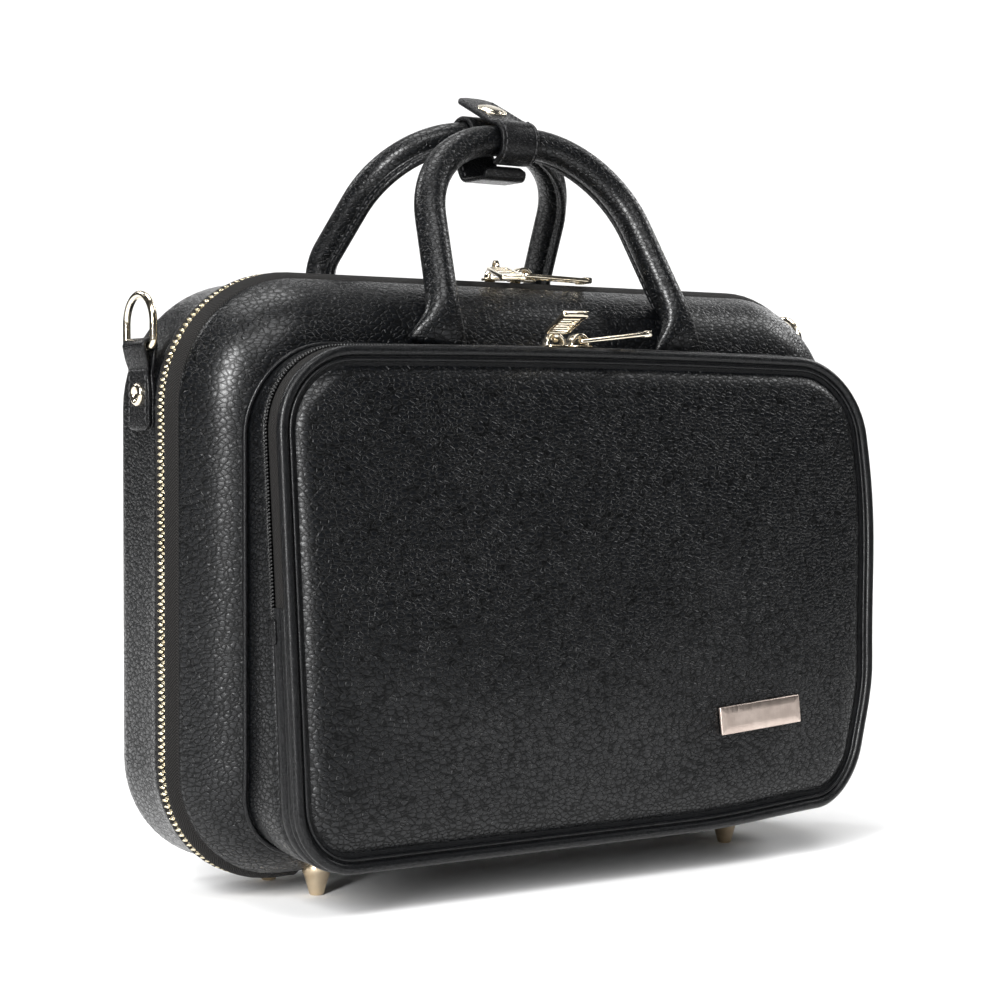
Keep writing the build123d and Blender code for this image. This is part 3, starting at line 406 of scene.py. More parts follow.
# colour darker between the ribs: painted shade in the grooves
tape_colour = mix_colours(tree, ribs, (0.0015, 0.0014, 0.0013), (0.01, 0.009, 0.0083))
dress(tree, shader, tape_colour, spread(tree, ribs, 0.0, 1.0, 0.9, 0.7), weave.outputs["Height"], 0.0002)

plush, tree, shader = new_finish("black_plush", Sheen_Weight=0.25, Sheen_Roughness=0.35)
nap_place = add_node(tree, "ShaderNodeTexCoord").outputs["Object"]
nap = add_node(tree, "ShaderNodeTexNoise", {"Vector": nap_place, "Scale": 1400.0, "Detail": 4.0}).outputs["Fac"]
strokes = place_group(tree, marks_group, {"Patch Scale": 22.0}).outputs["Patch"]
plush_colour = mix_colours(tree, strokes, (0.006, 0.006, 0.0075), (0.014, 0.014, 0.017))
dress(tree, shader, plush_colour, spread(tree, nap, 0.2, 0.8, 0.82, 0.98), nap, 0.0006)
print("cloths:", tape_cloth.name, plush.name)


# %% [markdown]
# Metal, nylon and thread differ in colour and gloss, but all show their wear in the same two ways: as duller
# patches and as fine scratches. One function makes them all.


# %% Metal and nylon finishes
def marked_finish(name, dull, bright, rough_low, rough_high, depth, patch_scale, scratch_scale, **constants):
    """Finish with patches of wear in its colour, and scratches of this depth in its gloss and bump."""
    finish, tree, shader = new_finish(name, **constants)
    marks = place_group(tree, marks_group, {"Patch Scale": patch_scale, "Scratch Scale": scratch_scale})
    scratch = marks.outputs["Scratch"]
    colour = mix_colours(tree, marks.outputs["Patch"], dull, bright)
    dress(tree, shader, colour, spread(tree, scratch, 0.3, 0.7, rough_low, rough_high), scratch, depth)
    return finish


def metal_finish(name, dull, bright, rough_low, rough_high, depth, scratch_scale=900.0):
    """Plated metal with patches of tarnish and fine scratches."""
    return marked_finish(name, dull, bright, rough_low, rough_high, depth, 140.0, scratch_scale, Metallic=1.0)


pale_gold = metal_finish("pale_gold_plate", (0.74, 0.65, 0.5), (0.86, 0.79, 0.66), 0.1, 0.26, 0.000015)
tooth_gold = metal_finish("zip_tooth_gold", (0.72, 0.62, 0.42), (0.88, 0.8, 0.6), 0.2, 0.36, 0.00002)
foot_gold = metal_finish("satin_foot_metal", (0.58, 0.46, 0.31), (0.7, 0.58, 0.42), 0.28, 0.45, 0.00003)
plate_gold = metal_finish("satin_rose_plate", (0.52, 0.43, 0.38), (0.66, 0.56, 0.5), 0.3, 0.45, 0.00003, 1500.0)
nylon = marked_finish(
    "black_nylon_coil", (0.004,) * 3, (0.012,) * 3, 0.3, 0.5, 0.00002, 300.0, 2500.0, Specular_IOR_Level=0.5
)
thread = marked_finish(
    "black_bonded_thread", (0.005, 0.005, 0.0055), (0.018, 0.018, 0.02), 0.5, 0.75, 0.00005, 500.0, 4000.0,
    Sheen_Weight=0.1,
)
print("finishes:", len(bpy.data.materials))

# %% [markdown]
# ## The two shells
# Each half is a moulded board covered with foam and leather. The skin starts inside the seam, comes over the
# edge, stands a little proud of the zip tape as a soft roll, and then follows the round edge to the flat face.
# The profile is drawn once as (outwards, depth) pairs and carried round the case outline.

# %% Shell skins
# Depth from the seam where the roll begins, and the roll's height and spread
ROLL_START, ROLL_HEIGHT, ROLL_SPREAD = 7.0, 0.7, 1.6
# The crease in front of the roll, where the leather meets the tape
CREASE_DEPTH, CREASE_SPREAD, TUCK = 0.9, 0.5, 1.2
BACK_CROWN, BACK_FOAM, BACK_SKIN_ROUND = 1.4, 0.5, 16.0
ROUND_STEPS = 28
FLAT_STEP = 4.0


def roll_height(depth):
    """How far the soft roll stands out at a depth from the seam."""
    if depth < ROLL_START:
        return 0.0
    s = (depth - ROLL_START) / ROLL_SPREAD
    roll = ROLL_HEIGHT * (s * exp(1 - s) if s < 6 else 0.0)
    return roll - CREASE_DEPTH * exp(-((depth - ROLL_START) / CREASE_SPREAD) ** 2)


def shell_profile(depth, rounding):
    """Pairs (inset from the zip ridge, depth from the seam) from the inner edge to the flat face."""
    pairs = [(SHELL_IN + SHELL_WALL, 0.3), (SHELL_IN + 0.4, 0.2)]
    pairs += [(SHELL_IN + TUCK, 3.0), (SHELL_IN + TUCK, ROLL_START - 1.0)]
    start = depth - rounding
    straight = [ROLL_START + 0.35 * k for k in range(18)]
    depths = [d for d in straight if d < start] or [ROLL_START]
    if start > straight[-1]:
        depths += [straight[-1] + (start - straight[-1]) * k / 3 for k in (1, 2)]
    pairs += [(SHELL_IN, d) for d in depths]
    first = max(start, ROLL_START)
    for k in range(ROUND_STEPS + 1):
        angle = (pi / 2) * k / ROUND_STEPS
        d = start + rounding * sin(angle)
        if d > first + 0.01 and d > pairs[-1][1] + 0.01:
            pairs.append((SHELL_IN + rounding * (1 - cos(angle)), d))
    return [(inset - roll_height(d), d) for inset, d in pairs]


def shell_skin(side, half, depth, rounding):
    """Leather skin of one half; side is 1 for the back, -1 for the front."""
    rows = [case_row(inset, side * d) for inset, d in shell_profile(depth, rounding)]
    edge, middle = rounding + SHELL_IN, CASE[1] / 2
    flat = [edge + FLAT_STEP * k for k in range(1, 60) if edge + FLAT_STEP * k < middle - 1]
    for inset in flat + [middle - 0.01]:
        settle = 1 - exp(-(((inset - edge) / 18) ** 2))
        row = []
        for x, z, _, _ in outline(CASE, inset):
            u, v = x / (CASE[0] / 2), (z - CASE_MID_Z) / (CASE[1] / 2)
            crown = max(0.0, (1 - u * u) * (1 - v * v)) * BACK_CROWN if side > 0 else 0.0
            row.append(mm(x, side * (depth + crown * settle), z))
        rows.append(row)
    make_piece(half + "_skin", loft(rows, wrap=True), pebbled, half + "_half", [half + "_shell"])


shell_skin(1, "back", BACK_DEPTH + BACK_FOAM, BACK_SKIN_ROUND)
shell_skin(-1, "front", FRONT_DEPTH, FRONT_ROUND)

# %% [markdown]
# ## The main zip
# A metal zip is two herringbone tapes with a cord along each inner edge, and teeth clamped over the cords. Seen
# closed, the tapes rise a little towards the teeth. The tape tucks under the leather roll.


TAPE_PROFILE = (
    (2.1, 0.25), (1.5, 0.8), (0.95, 1.5), (0.6, 2.2), (0.45, 2.9), (0.5, 3.6), (0.85, 4.5), (1.4, 5.6), (2.1, 6.7),
    (3.0, 7.8), (4.2, 9.2),
)
for side, half in HALVES:
    rows = [case_row(inset, side * d, ZIP_END_X) for inset, d in TAPE_PROFILE]
    tape = make_piece(half + "_tape", loft(rows), tape_cloth, half + "_half", [half + "_zip_tape"])


# %% [markdown]
# Each tooth is a short bar, clamped over the cord. The teeth of one half sit in the gaps of the other. A bevelled
# bar is built once, as a small list of corners, and set down at every pitch.


# %% Set one small shape down many times
def block_corners(length, width, height, taper=1.0):
    """Corners of a bar along X, from 0 to length, that narrows to taper at its far end."""
    corners = []
    for x, share in ((0.0, 1.0), (length, taper)):
        for y, z in ((-1, -1), (1, -1), (1, 1), (-1, 1)):
            corners.append(Vector((x, y * width / 2 * share, z * height / 2 * share)))
    return corners


def add_block(grid, corners, origin, forward, sideways, up):
    """Add a bar whose X, Y and Z lie along the given directions."""
    verts = [grid.verts.new((origin + forward * c.x + sideways * c.y + up * c.z) * MM) for c in corners]
    for a, b, c, d in ((0, 1, 2, 3), (7, 6, 5, 4), (0, 4, 5, 1), (1, 5, 6, 2), (2, 6, 7, 3), (3, 7, 4, 0)):
        grid.faces.new((verts[a], verts[b], verts[c], verts[d]))


def evenly(places, pitch, offset=0.0):
    """Points (x, z, nx, nz) at an even pitch along a walk round an outline."""
    spaced, travelled, target = [], 0.0, offset
    for here, there in zip(places, places[1:]):
        step = hypot(there[0] - here[0], there[1] - here[1])
        while step > 0 and target <= travelled + step:
            t = (target - travelled) / step
            spaced.append(tuple(h + (w - h) * t for h, w in zip(here, there)))
            target += pitch
        travelled += step
    return spaced


def directions(nx, nz):
    """Outward direction at a point of a walk, and the direction along it."""
    return Vector((nx, 0, nz)).normalized(), Vector((nz, 0, -nx)).normalized()


# %% [markdown]
# A cast tooth has rounded edges, so its bar gets a bevel of two steps. The back row starts first, and the front
# row half a pitch later, which makes the two rows mesh.

# %% Zip teeth
TOOTH_PITCH = 2.4
TOOTH_LENGTH, TOOTH_WIDTH, TOOTH_HEIGHT, TOOTH_TAPER = 3.0, 1.15, 1.5, 0.8
TOOTH_IN, TOOTH_ROOT, TOOTH_BEVEL = 1.15, 2.75, 0.28
FIRST_TOOTH = 0.4
bar = block_corners(TOOTH_LENGTH, TOOTH_WIDTH, TOOTH_HEIGHT, TOOTH_TAPER)
for (side, half), offset in zip(HALVES, (FIRST_TOOTH, FIRST_TOOTH + TOOTH_PITCH / 2)):
    grid = new_grid()
    for x, z, nx, nz in evenly(outline(CASE, TOOTH_IN, ZIP_END_X), TOOTH_PITCH, offset):
        out, run = directions(nx, nz)
        add_block(grid, bar, Vector((x, side * TOOTH_ROOT, z)), Vector((0, -side, 0)), run, out)
    bmesh.ops.bevel(grid, geom=grid.edges[:], offset=TOOTH_BEVEL * MM, segments=2, affect="EDGES")
    make_piece(half + "_teeth", grid, tooth_gold, half + "_half", [half + "_zip_teeth"])

# %% [markdown]
# ## Leather strips and stitches
# Straps, tabs and the hinge strip are flat leather with rounded edges. A strip follows a path, and its section
# is a rounded bar. Stitches are short threads that sink into the leather at both ends.

# %% Strips and stitches
SECTION_STEPS = 5


def bar_section(width, thickness, edge):
    """Points (across, up) of a bar with round corners."""
    w, t = width / 2 - edge, thickness / 2 - edge
    points = []
    for cx, cz, start in ((w, t, 0), (-w, t, 90), (-w, -t, 180), (w, -t, 270)):
        for k in range(SECTION_STEPS):
            angle = radians(start + 90 * k / (SECTION_STEPS - 1))
            points.append((cx + edge * cos(angle), cz + edge * sin(angle)))
    return points


def along_path(path, closed=False):
    """Directions along a path of points."""
    count = len(path)
    ways = []
    for k in range(count):
        ahead = path[(k + 1) % count] if closed or k < count - 1 else path[k]
        behind = path[k - 1] if closed or k > 0 else path[k]
        ways.append((ahead - behind).normalized())
    return ways


def square_to(way, towards):
    """The direction square to the way that is nearest to another one, and the third direction square to both."""
    side = (towards - way * towards.dot(way)).normalized()
    return side, way.cross(side)


def place_section(point, side, up, section):
    """Points of a section, set down at a point and turned to metres."""
    return [(point + side * a + up * b) * MM for a, b in section]


def strip_rows(path, across, section, closed=False):
    """Rows of a bar with this section along the path; across is the direction of its width."""
    ways = along_path(path, closed)
    return [place_section(point, *square_to(way, across), section) for point, way in zip(path, ways)]


def arc_points(centre, radius, start, end, steps, frame_x, frame_y):
    """Points on an arc, in degrees, in the plane of two directions."""
    angles = [radians(start + (end - start) * k / steps) for k in range(steps + 1)]
    return [centre + frame_x * radius * cos(a) + frame_y * radius * sin(a) for a in angles]


def resample(path, pitch):
    """Points at an even pitch along a path, with their directions."""
    spaced, travelled, target = [], 0.0, pitch / 2
    for here, there in zip(path, path[1:]):
        step = (there - here).length
        while step > 0 and target <= travelled + step:
            spaced.append((here.lerp(there, (target - travelled) / step), (there - here).normalized()))
            target += pitch
        travelled += step
    return spaced


def refine(path, step=1.0):
    """The same path with points at most a step apart."""
    fine = [path[0]]
    for here, there in zip(path, path[1:]):
        parts = max(1, round((there - here).length / step))
        fine += [here.lerp(there, k / parts) for k in range(1, parts + 1)]
    return fine


def add_ribbon(grid, path, across, width, thickness, corners=(0.0, 0.0), edge=0.6, narrow=None):
    """Strap along a path: corners rounds its two ends, and narrow(share) scales its width on the way."""
    spots = refine(path)
    runs = [0.0]
    for here, there in zip(spots, spots[1:]):
        runs.append(runs[-1] + (there - here).length)
    rows = []
    for point, way, run in zip(spots, along_path(spots), runs):
        half = width / 2 * (narrow(run / runs[-1]) if narrow else 1.0)
        for radius, near in zip(corners, (run, runs[-1] - run)):
            if near < radius:
                half += sqrt(radius**2 - (radius - near) ** 2) - radius
        rows.append(place_section(point, *square_to(way, across), bar_section(2 * half, thickness, edge)))
    loft(rows, wrap=True, cap=True, grid=grid)


STITCH_LENGTH = 2.3
STITCH_RADIUS = 0.32


def add_stitches(grid, path, outward, pitch=3.1):
    """Short threads along a path; outward gives the direction that faces out, from a point and the way along."""
    for point, way in resample(path, pitch):
        up, side = square_to(way, outward(point, way))
        rows = []
        for t in (-1.0, -0.7, 0.0, 0.7, 1.0):
            size = STITCH_RADIUS * (1 - 0.45 * t * t)
            centre = point + way * (t * STITCH_LENGTH / 2) + up * STITCH_RADIUS * (0.55 - 1.1 * t * t)
            rows.append(place_section(centre, side, up, round_section(size, 6)))
        loft(rows, wrap=True, grid=grid)


def add_ribbon_stitches(grid, path, across, offset, lift, pitch=3.1):
    """A row of stitches along a strap, offset from its middle, on the face at this lift."""
    line = []
    for point, way in zip(path, along_path(path)):
        side, up = square_to(way, across)
        line.append(point + side * offset + up * lift)
    add_stitches(grid, line, lambda point, way: way.cross(across) * (1 if lift > 0 else -1), pitch)


# %% [markdown]
# Wire is a tube along a path. Feet, rivets and snaps are turned on a lathe, and so is their mesh: pairs of
# (radius, height) go round an axis. Plates and tabs are slabs with round corners and a bevelled rim, because it
# is the bevel that catches the light.


# %% Wire, turned parts and slabs
def round_section(radius, steps=14):
    """Points (across, up) of a round wire."""
    return [(radius * cos(2 * pi * k / steps), radius * sin(2 * pi * k / steps)) for k in range(steps)]


def add_turned(grid, profile, origin, axis, steps=32):
    """Add a turned shape: profile gives (radius, height) pairs, measured from the origin along the axis."""
    u = axis.orthogonal().normalized()
    v = axis.cross(u)
    rows = [place_section(origin + axis * height, u, v, round_section(radius, steps)) for radius, height in profile]
    loft(rows, wrap=True, cap=True, grid=grid)


def add_slab(grid, centre, right, up, size, radius, edge):
    """Add a plate on the plane of right and up; size is width, height and thickness."""
    width, height, thickness = size
    out = right.cross(up)
    rows = []
    heights = ((edge, 0.0), (0.3 * edge, 0.3 * edge), (0.0, edge), (0.0, thickness - edge))
    heights += ((0.3 * edge, thickness - 0.3 * edge), (edge, thickness), (0.3 * min(width, height), thickness))
    for inset, lift in heights:
        w, h, r = width / 2 - inset, height / 2 - inset, max(radius - inset, 0.1)
        row = []
        for cx, cy, start in ((w - r, h - r, 0), (r - w, h - r, 90), (r - w, r - h, 180), (w - r, r - h, 270)):
            for k in range(6):
                angle = radians(start + 18 * k)
                row.append((centre + right * (cx + r * cos(angle)) + up * (cy + r * sin(angle)) + out * lift) * MM)
        rows.append(row)
    loft(rows, wrap=True, cap=True, grid=grid)


AXIS_X, AXIS_Y, AXIS_Z = Vector((1, 0, 0)), Vector((0, 1, 0)), Vector((0, 0, 1))

# %% [markdown]
# ## Front pocket
# The pocket is a bellows of leather on the lid: a thin bead where it is sewn down, a side wall, a coil zip, a
# tape, and then a leaning front panel edged with a round piping. Its depth is measured from the plane of the
# leaning panel, so a helper turns a place on the pattern and a distance out from that plane into a point.


# %% Pocket places
# What use has done to the pocket: bow of its top edge, fullness of its right side, slack of its lower right
# corner to the side and backwards, and sag of its bottom
TOP_BOW, RIGHT_FULL, CORNER_SLACK, CORNER_BACK, BOTTOM_SAG = 1.6, 6.4, 9.8, 1.5, 3.5
LEAN_OUT = Vector((0, -cos(POCKET_LEAN), sin(POCKET_LEAN)))
LEAN_UP = Vector((0, sin(POCKET_LEAN), cos(POCKET_LEAN)))


def ease(share):
    """Smooth step from 0 to 1."""
    share = min(max(share, 0.0), 1.0)
    return share * share * (3 - 2 * share)


def settled(x, z):
    """How a used pocket leaves its pattern: fuller right side, sagging bottom, slack lower right corner."""
    right, low = ease((x - 35) / 97), ease((76 - z) / 54)
    bow = TOP_BOW * max(0.0, 1 - (x / 118) ** 2) * max(0.0, (z - 150) / 47.5) ** 2
    fuller = RIGHT_FULL * right * exp(-(((z - 142) / 52) ** 2))
    sag = BOTTOM_SAG * low * (1 - 1.1 * right)
    return Vector((fuller - CORNER_SLACK * right * low, CORNER_BACK * right * low, bow - sag))


def leaning(x, z, out):
    """Point of the pocket whose pattern is the leaning panel plane, with out as its distance in front of it."""
    depth = -POCKET_REACH + (z - POCKET_MID_Z) * tan(POCKET_LEAN) - out / cos(POCKET_LEAN)
    return Vector((x, depth, z)) + settled(x, z)


def inset_from(shape, x, z):
    """How far a point lies inside the outline."""
    width, height, low, top_radius, bottom_radius = shape
    mid = low + height / 2
    radius = top_radius if z > mid else bottom_radius
    dx = abs(x) - (width / 2 - radius)
    dz = (z - (low + height - radius)) if z > mid else ((low + radius) - z)
    if dx > 0 and dz > 0:
        return radius - hypot(dx, dz)
    return radius - max(dx, dz)


def lid_surface(x, z):
    """Depth of the front shell's outside at a point."""
    inside = inset_from(CASE, x, z) - SHELL_IN
    if inside >= FRONT_ROUND:
        return -FRONT_DEPTH
    inside = max(inside, 0.0)
    return -(FRONT_DEPTH - FRONT_ROUND + sqrt(FRONT_ROUND**2 - (FRONT_ROUND - inside) ** 2))


def pocket_row(inset, out, keep=lambda places: places):
    """The walk round the pocket at one distance from the panel's plane, or a part of it, in metres."""
    return [leaning(x, z, out) * MM for x, z, _, _ in keep(outline(POCKET, inset))]


print("middle of the pocket's plane:", leaning(0, POCKET_MID_Z, 0))

# %% [markdown]
# The side wall is sewn to the lid along a thin bead, and stands up as far as the zip. Leather never stands quite
# straight, so the wall bulges a little between its two seams.

# %% Pocket wall and bead
COIL_PLACE = -8.3
WALL_BULGE, WALL_TUCK = 0.9, 0.25
wall_rows = []
for share in (0.0, 0.15, 0.35, 0.6, 0.85, 1.0):
    puff = WALL_BULGE * sin(pi * share) - WALL_TUCK
    row = []
    for x, z, nx, nz in outline(POCKET):
        root = Vector((x, lid_surface(x, z) + 0.6, z))
        lip = leaning(x, z, COIL_PLACE - 1.4)
        row.append((root.lerp(lip, share) + Vector((nx, 0, nz)) * puff) * MM)
    wall_rows.append(row)
wall_rows.append(pocket_row(1.4, COIL_PLACE - 1.3))
make_piece("pocket_wall", loft(wall_rows, wrap=True), pebbled, "front_half", ["pocket_gusset"])


def ring_tube(name, inset, out_of, radius, body=None, replaces=(), steps=10):
    """Cord wrapped in binding leather and carried round the pocket; out_of gives its centre from x and z."""
    rows = []
    for k in range(steps):
        angle = 2 * pi * k / steps
        row = []
        for x, z, nx, nz in outline(POCKET, inset):
            rim = Vector((nx, 0, nz)) * radius * cos(angle) - AXIS_Y * radius * sin(angle)
            row.append((out_of(x, z) + rim) * MM)
        rows.append(row)
    return make_piece(name, loft(rows, wrap=True, closed=True), edge_leather, body, replaces)


BEAD_RADIUS = 0.95
ring_tube(
    "pocket_bead_cord", -1.0, lambda x, z: Vector((x, lid_surface(x, z) - 0.5, z)), BEAD_RADIUS,
    "front_half", ["pocket_bead"],
)

# %% [markdown]
# The upper pocket folds forward at the height where its zip ends, so what lies across that fold is one piece.
# Here each such piece is only baked in place; it follows neither the lid nor the flap.


def bend_at_fold(piece):
    """Bake the piece's placement into its mesh; it follows neither the lid nor the flap."""
    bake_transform(piece)


PIPING_RADIUS, WELT_RADIUS = 2.0, 0.75
piping_nodes = ["pocket_piping_upper", "pocket_piping_lower"]
bend_at_fold(ring_tube("pocket_piping", 2.0, lambda x, z: leaning(x, z, 0.0), PIPING_RADIUS, None, piping_nodes, 16))
bend_at_fold(ring_tube("pocket_welt", 5.0, lambda x, z: leaning(x, z, 0.6), WELT_RADIUS))


# %% [markdown]
# A narrow strip joins the coil to the piping. It is woven tape where the zip runs, above the fold, and leather
# round the rest, so each takes its own part of the walk round the pocket.


# %% Strips between the coil and the piping
def above_fold(places):
    """The part of a walk round the pocket that lies above the fold."""
    return [p for p in places if p[1] > FOLD_Z + 0.5]


def below_fold(places):
    """The rest of that walk, from the right side down, along the bottom and up the left side."""
    kept = [p for p in places if p[1] <= FOLD_Z + 6.5]
    half = sum(1 for p in kept if places.index(p) < len(places) // 2)
    return kept[half:] + kept[:half]


def collar(keep, profile):
    """Strip between the coil and the piping, for the part of the walk that keep gives."""
    return loft([pocket_row(inset, out, keep) for inset, out in profile])


TAPE_COLLAR = (
    (1.8, COIL_PLACE + 0.4), (0.7, COIL_PLACE + 0.9), (0.35, COIL_PLACE + 2.0), (0.4, -4.0), (0.8, -2.2), (2.0, -1.2),
)
LEATHER_COLLAR = (
    (2.0, COIL_PLACE - 1.2), (0.5, COIL_PLACE - 0.9), (-0.25, COIL_PLACE), (-0.35, COIL_PLACE + 1.6), (0.1, -5.2),
    (0.9, -4.6), (0.2, -3.8), (0.1, -2.8), (0.8, -1.9), (2.0, -1.2),
)
tape = make_piece("pocket_tape", collar(above_fold, TAPE_COLLAR), tape_cloth, None, ["pocket_zip_outer"])
bend_at_fold(tape)
make_piece("pocket_collar", collar(below_fold, LEATHER_COLLAR), edge_leather, "front_half")

# %% [markdown]
# The pocket's coil is a nylon spiral: each turn is a small bump, and the two rows interlock. Rows of little
# bars stand for the turns, half a pitch apart, with the outer row on the flap.

# %% Coil of the pocket zip
COIL_PITCH, COIL_APART, COIL_SLANT, COIL_BEVEL = 1.25, 0.62, 0.35, 0.24
bar = block_corners(1.2, 0.8, 0.9)
for name, out, body, offset, nodes in (
    ("coil_inner", COIL_PLACE - COIL_APART, "front_half", 0.0, ["pocket_zip_inner"]),
    ("coil_outer", COIL_PLACE + COIL_APART, "pocket_flap", COIL_PITCH / 2, []),
):
    grid = new_grid()
    for x, z, nx, nz in above_fold(evenly(outline(POCKET, -0.1), COIL_PITCH, offset)):
        outward, run = directions(nx, nz)
        add_block(grid, bar, leaning(x, z, out - 0.6), -AXIS_Y, (run - AXIS_Y * COIL_SLANT).normalized(), outward)
    bmesh.ops.bevel(grid, geom=grid.edges[:], offset=COIL_BEVEL * MM, segments=1, affect="EDGES")
    make_piece(name, grid, nylon, body, nodes)

# %% [markdown]
# The panel is thin leather over foam. It swells between its edges, and use has left shallow hollows. Its height
# above the flat panel plane is a smooth crown, a rolled edge and a few soft dents from noise.

# %% Pocket panel
PANEL_INSET, PANEL_THICKNESS, CROWN = 6.6, 3.2, 4.2
PANEL_MIDDLE = 88.84
# Each dent: x, z, size, depth
DENTS = ((60.0, 62.0, 26.0, 1.0), (-58.0, 150.0, 34.0, 0.7), (20.0, 128.0, 30.0, 0.5), (-92.0, 60.0, 22.0, 0.6))


def panel_height(x, z):
    """Height of the leather above the panel plane."""
    inside = max(inset_from(POCKET, x, z) - PANEL_INSET, 0.0)
    edge = 1 - exp(-((inside / 3.4) ** 1.3))
    u, v = x / (POCKET[0] / 2), (z - POCKET_MID_Z) / (POCKET[1] / 2)
    crown = CROWN * max(0.0, (1 - u * u)) ** 0.8 * max(0.0, (1 - v * v)) ** 0.8
    waves = noise.noise(Vector((x / 62, z / 48, 1.7))) * 0.9 + noise.noise(Vector((x / 30, z / 24, 5.1))) * 0.3
    dents = sum(depth * exp(-((x - dx) ** 2 + (z - dz) ** 2) / (2 * size**2)) for dx, dz, size, depth in DENTS)
    return -0.4 + (PANEL_THICKNESS + 0.4) * edge + (crown + waves - dents) * (1 - exp(-inside / 12))


def on_panel(x, z, lift=0.0):
    """Point on the panel's leather."""
    return leaning(x, z, panel_height(x, z) + lift)


panel_insets = [PANEL_INSET - 0.8 + 0.7 * k for k in range(12)] + [15.0, 17.5, 20.5, 24.0]
panel_insets += [28.0 + 4.0 * k for k in range(16)] + [PANEL_MIDDLE]
rows = [[on_panel(x, z) * MM for x, z, _, _ in outline(POCKET, inset)] for inset in panel_insets]
panel_nodes = ["pocket_panel_upper", "pocket_panel_lower"]
panel = make_piece("pocket_panel", loft(rows, wrap=True), pebbled, None, panel_nodes)
bend_at_fold(panel)

BACKING = ((2.0, 0.8), (PANEL_INSET - 0.4, 0.1), (PANEL_INSET + 2, -0.2), (40.0, -0.4), (PANEL_MIDDLE, -0.4))
backing = loft([pocket_row(inset, out) for inset, out in BACKING], wrap=True)
bend_at_fold(make_piece("pocket_backing", backing, edge_leather))

# %% [markdown]
# ## Handles
# Each handle is a cord core rolled in leather. The two edges of the leather are sewn into a flat fin that faces
# the other handle, and each end is flattened and sewn to its half of the case. The section is a circle with a
# fin, and it widens into a flat foot at the ends.

# %% Rolled handle
HANDLE_RADIUS, FIN_REACH, FIN_THICKNESS = 5.9, 3.4, 2.6
# How much the foot is wider and thinner than the roll, and how far up it reaches
FOOT_FLARE, FOOT_THINNING, FOOT_REACH = 6.0, 0.45, 10.0


def rounded_route(points, radii, step=3.0):
    """Route through points with an arc of the given radius at each inner point."""
    route = [points[0]]
    for before, here, after, radius in zip(points, points[1:], points[2:], radii):
        a, b = (before - here).normalized(), (after - here).normalized()
        half = a.angle(b) / 2
        reach = radius / tan(half)
        centre = here + (a + b).normalized() * (radius / sin(half))
        start, end = here + a * reach, here + b * reach
        first, last = start - centre, end - centre
        count = max(6, round(first.angle(last) * radius / step))
        for k in range(count + 1):
            route.append(centre + first.slerp(last, k / count) * (radius / first.slerp(last, k / count).length))
    route.append(points[-1])
    return refine(route, step)


def handle_section(flare, fin):
    """Points (across, towards the fin): a circle that flattens into a foot with flare, with a fin where fin is 1."""
    points = []
    for k in range(37):
        angle = radians(107 + 326 * k / 36)
        points.append((HANDLE_RADIUS * cos(angle), HANDLE_RADIUS * sin(angle)))
    half = FIN_THICKNESS / 2
    tip = HANDLE_RADIUS + FIN_REACH
    drawn = ((half, 0.1), (half * 1.02, 0.45), (half, 0.85), (half * 0.55, 1.0), (0.0, 1.03))
    drawn += tuple((-a, b) for a, b in drawn[-2::-1])
    for k, (a, b) in enumerate(drawn):
        angle = radians(73 + 34 * (k + 1) / 10)
        round_x, round_y = HANDLE_RADIUS * cos(angle), HANDLE_RADIUS * sin(angle)
        fin_y = HANDLE_RADIUS - 0.4 + (tip - HANDLE_RADIUS + 0.4) * b
        points.append((round_x + (a - round_x) * fin, round_y + (fin_y - round_y) * fin))
    wide, thin = 1 + FOOT_FLARE / HANDLE_RADIUS * flare, 1 - FOOT_THINNING * flare
    return [(a * wide, b * thin) for a, b in points]


def rolled_handle(route, fin_way):
    """Handle along a route, and the stitches of its fin, which starts on the side of fin_way."""
    spots = refine(route, 2.5)
    total = sum((b - a).length for a, b in zip(spots, spots[1:]))
    rows, edges, travelled = [], ([], []), 0.0
    for k, (point, way) in enumerate(zip(spots, along_path(spots))):
        if k:
            travelled += (point - spots[k - 1]).length
        fin_way, side = square_to(way, fin_way)
        near = min(travelled, total - travelled)
        flare = exp(-((near / FOOT_REACH) ** 2))
        fin = (1 - exp(-(((travelled - total / 2) / 15) ** 6))) * (1 - exp(-((near / 17) ** 4)))
        rows.append(place_section(point, side, fin_way, handle_section(flare, fin)))
        if fin > 0.9:
            for line, sign in zip(edges, (1, -1)):
                lift = HANDLE_RADIUS + FIN_REACH * 0.5
                line.append((point + side * sign * FIN_THICKNESS / 2 + fin_way * lift, side * sign))
    stitches = new_grid()
    for line in edges:
        for (point, out), (after, _) in zip(line, line[1:]):
            if (after - point).length < 6:
                add_stitches(stitches, [point, after], lambda p, w, out=out: out, 3.0)
    return loft(rows, wrap=True, cap=True), stitches


def sewn_handle(half, stations, radii, fin_way):
    """Handle of one half, with the stitches of its fin, both baked in place."""
    route = rounded_route([Vector(station) for station in stations], radii)
    leather, stitches = rolled_handle(route, Vector(fin_way))
    nodes = ["handle_" + half, "handle_feet_" + half]
    handle = make_piece(half + "_handle_leather", leather, pebbled, None, nodes)
    seams = make_piece(half + "_handle_stitches", stitches, thread)
    for piece in (handle, seams):
        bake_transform(piece)


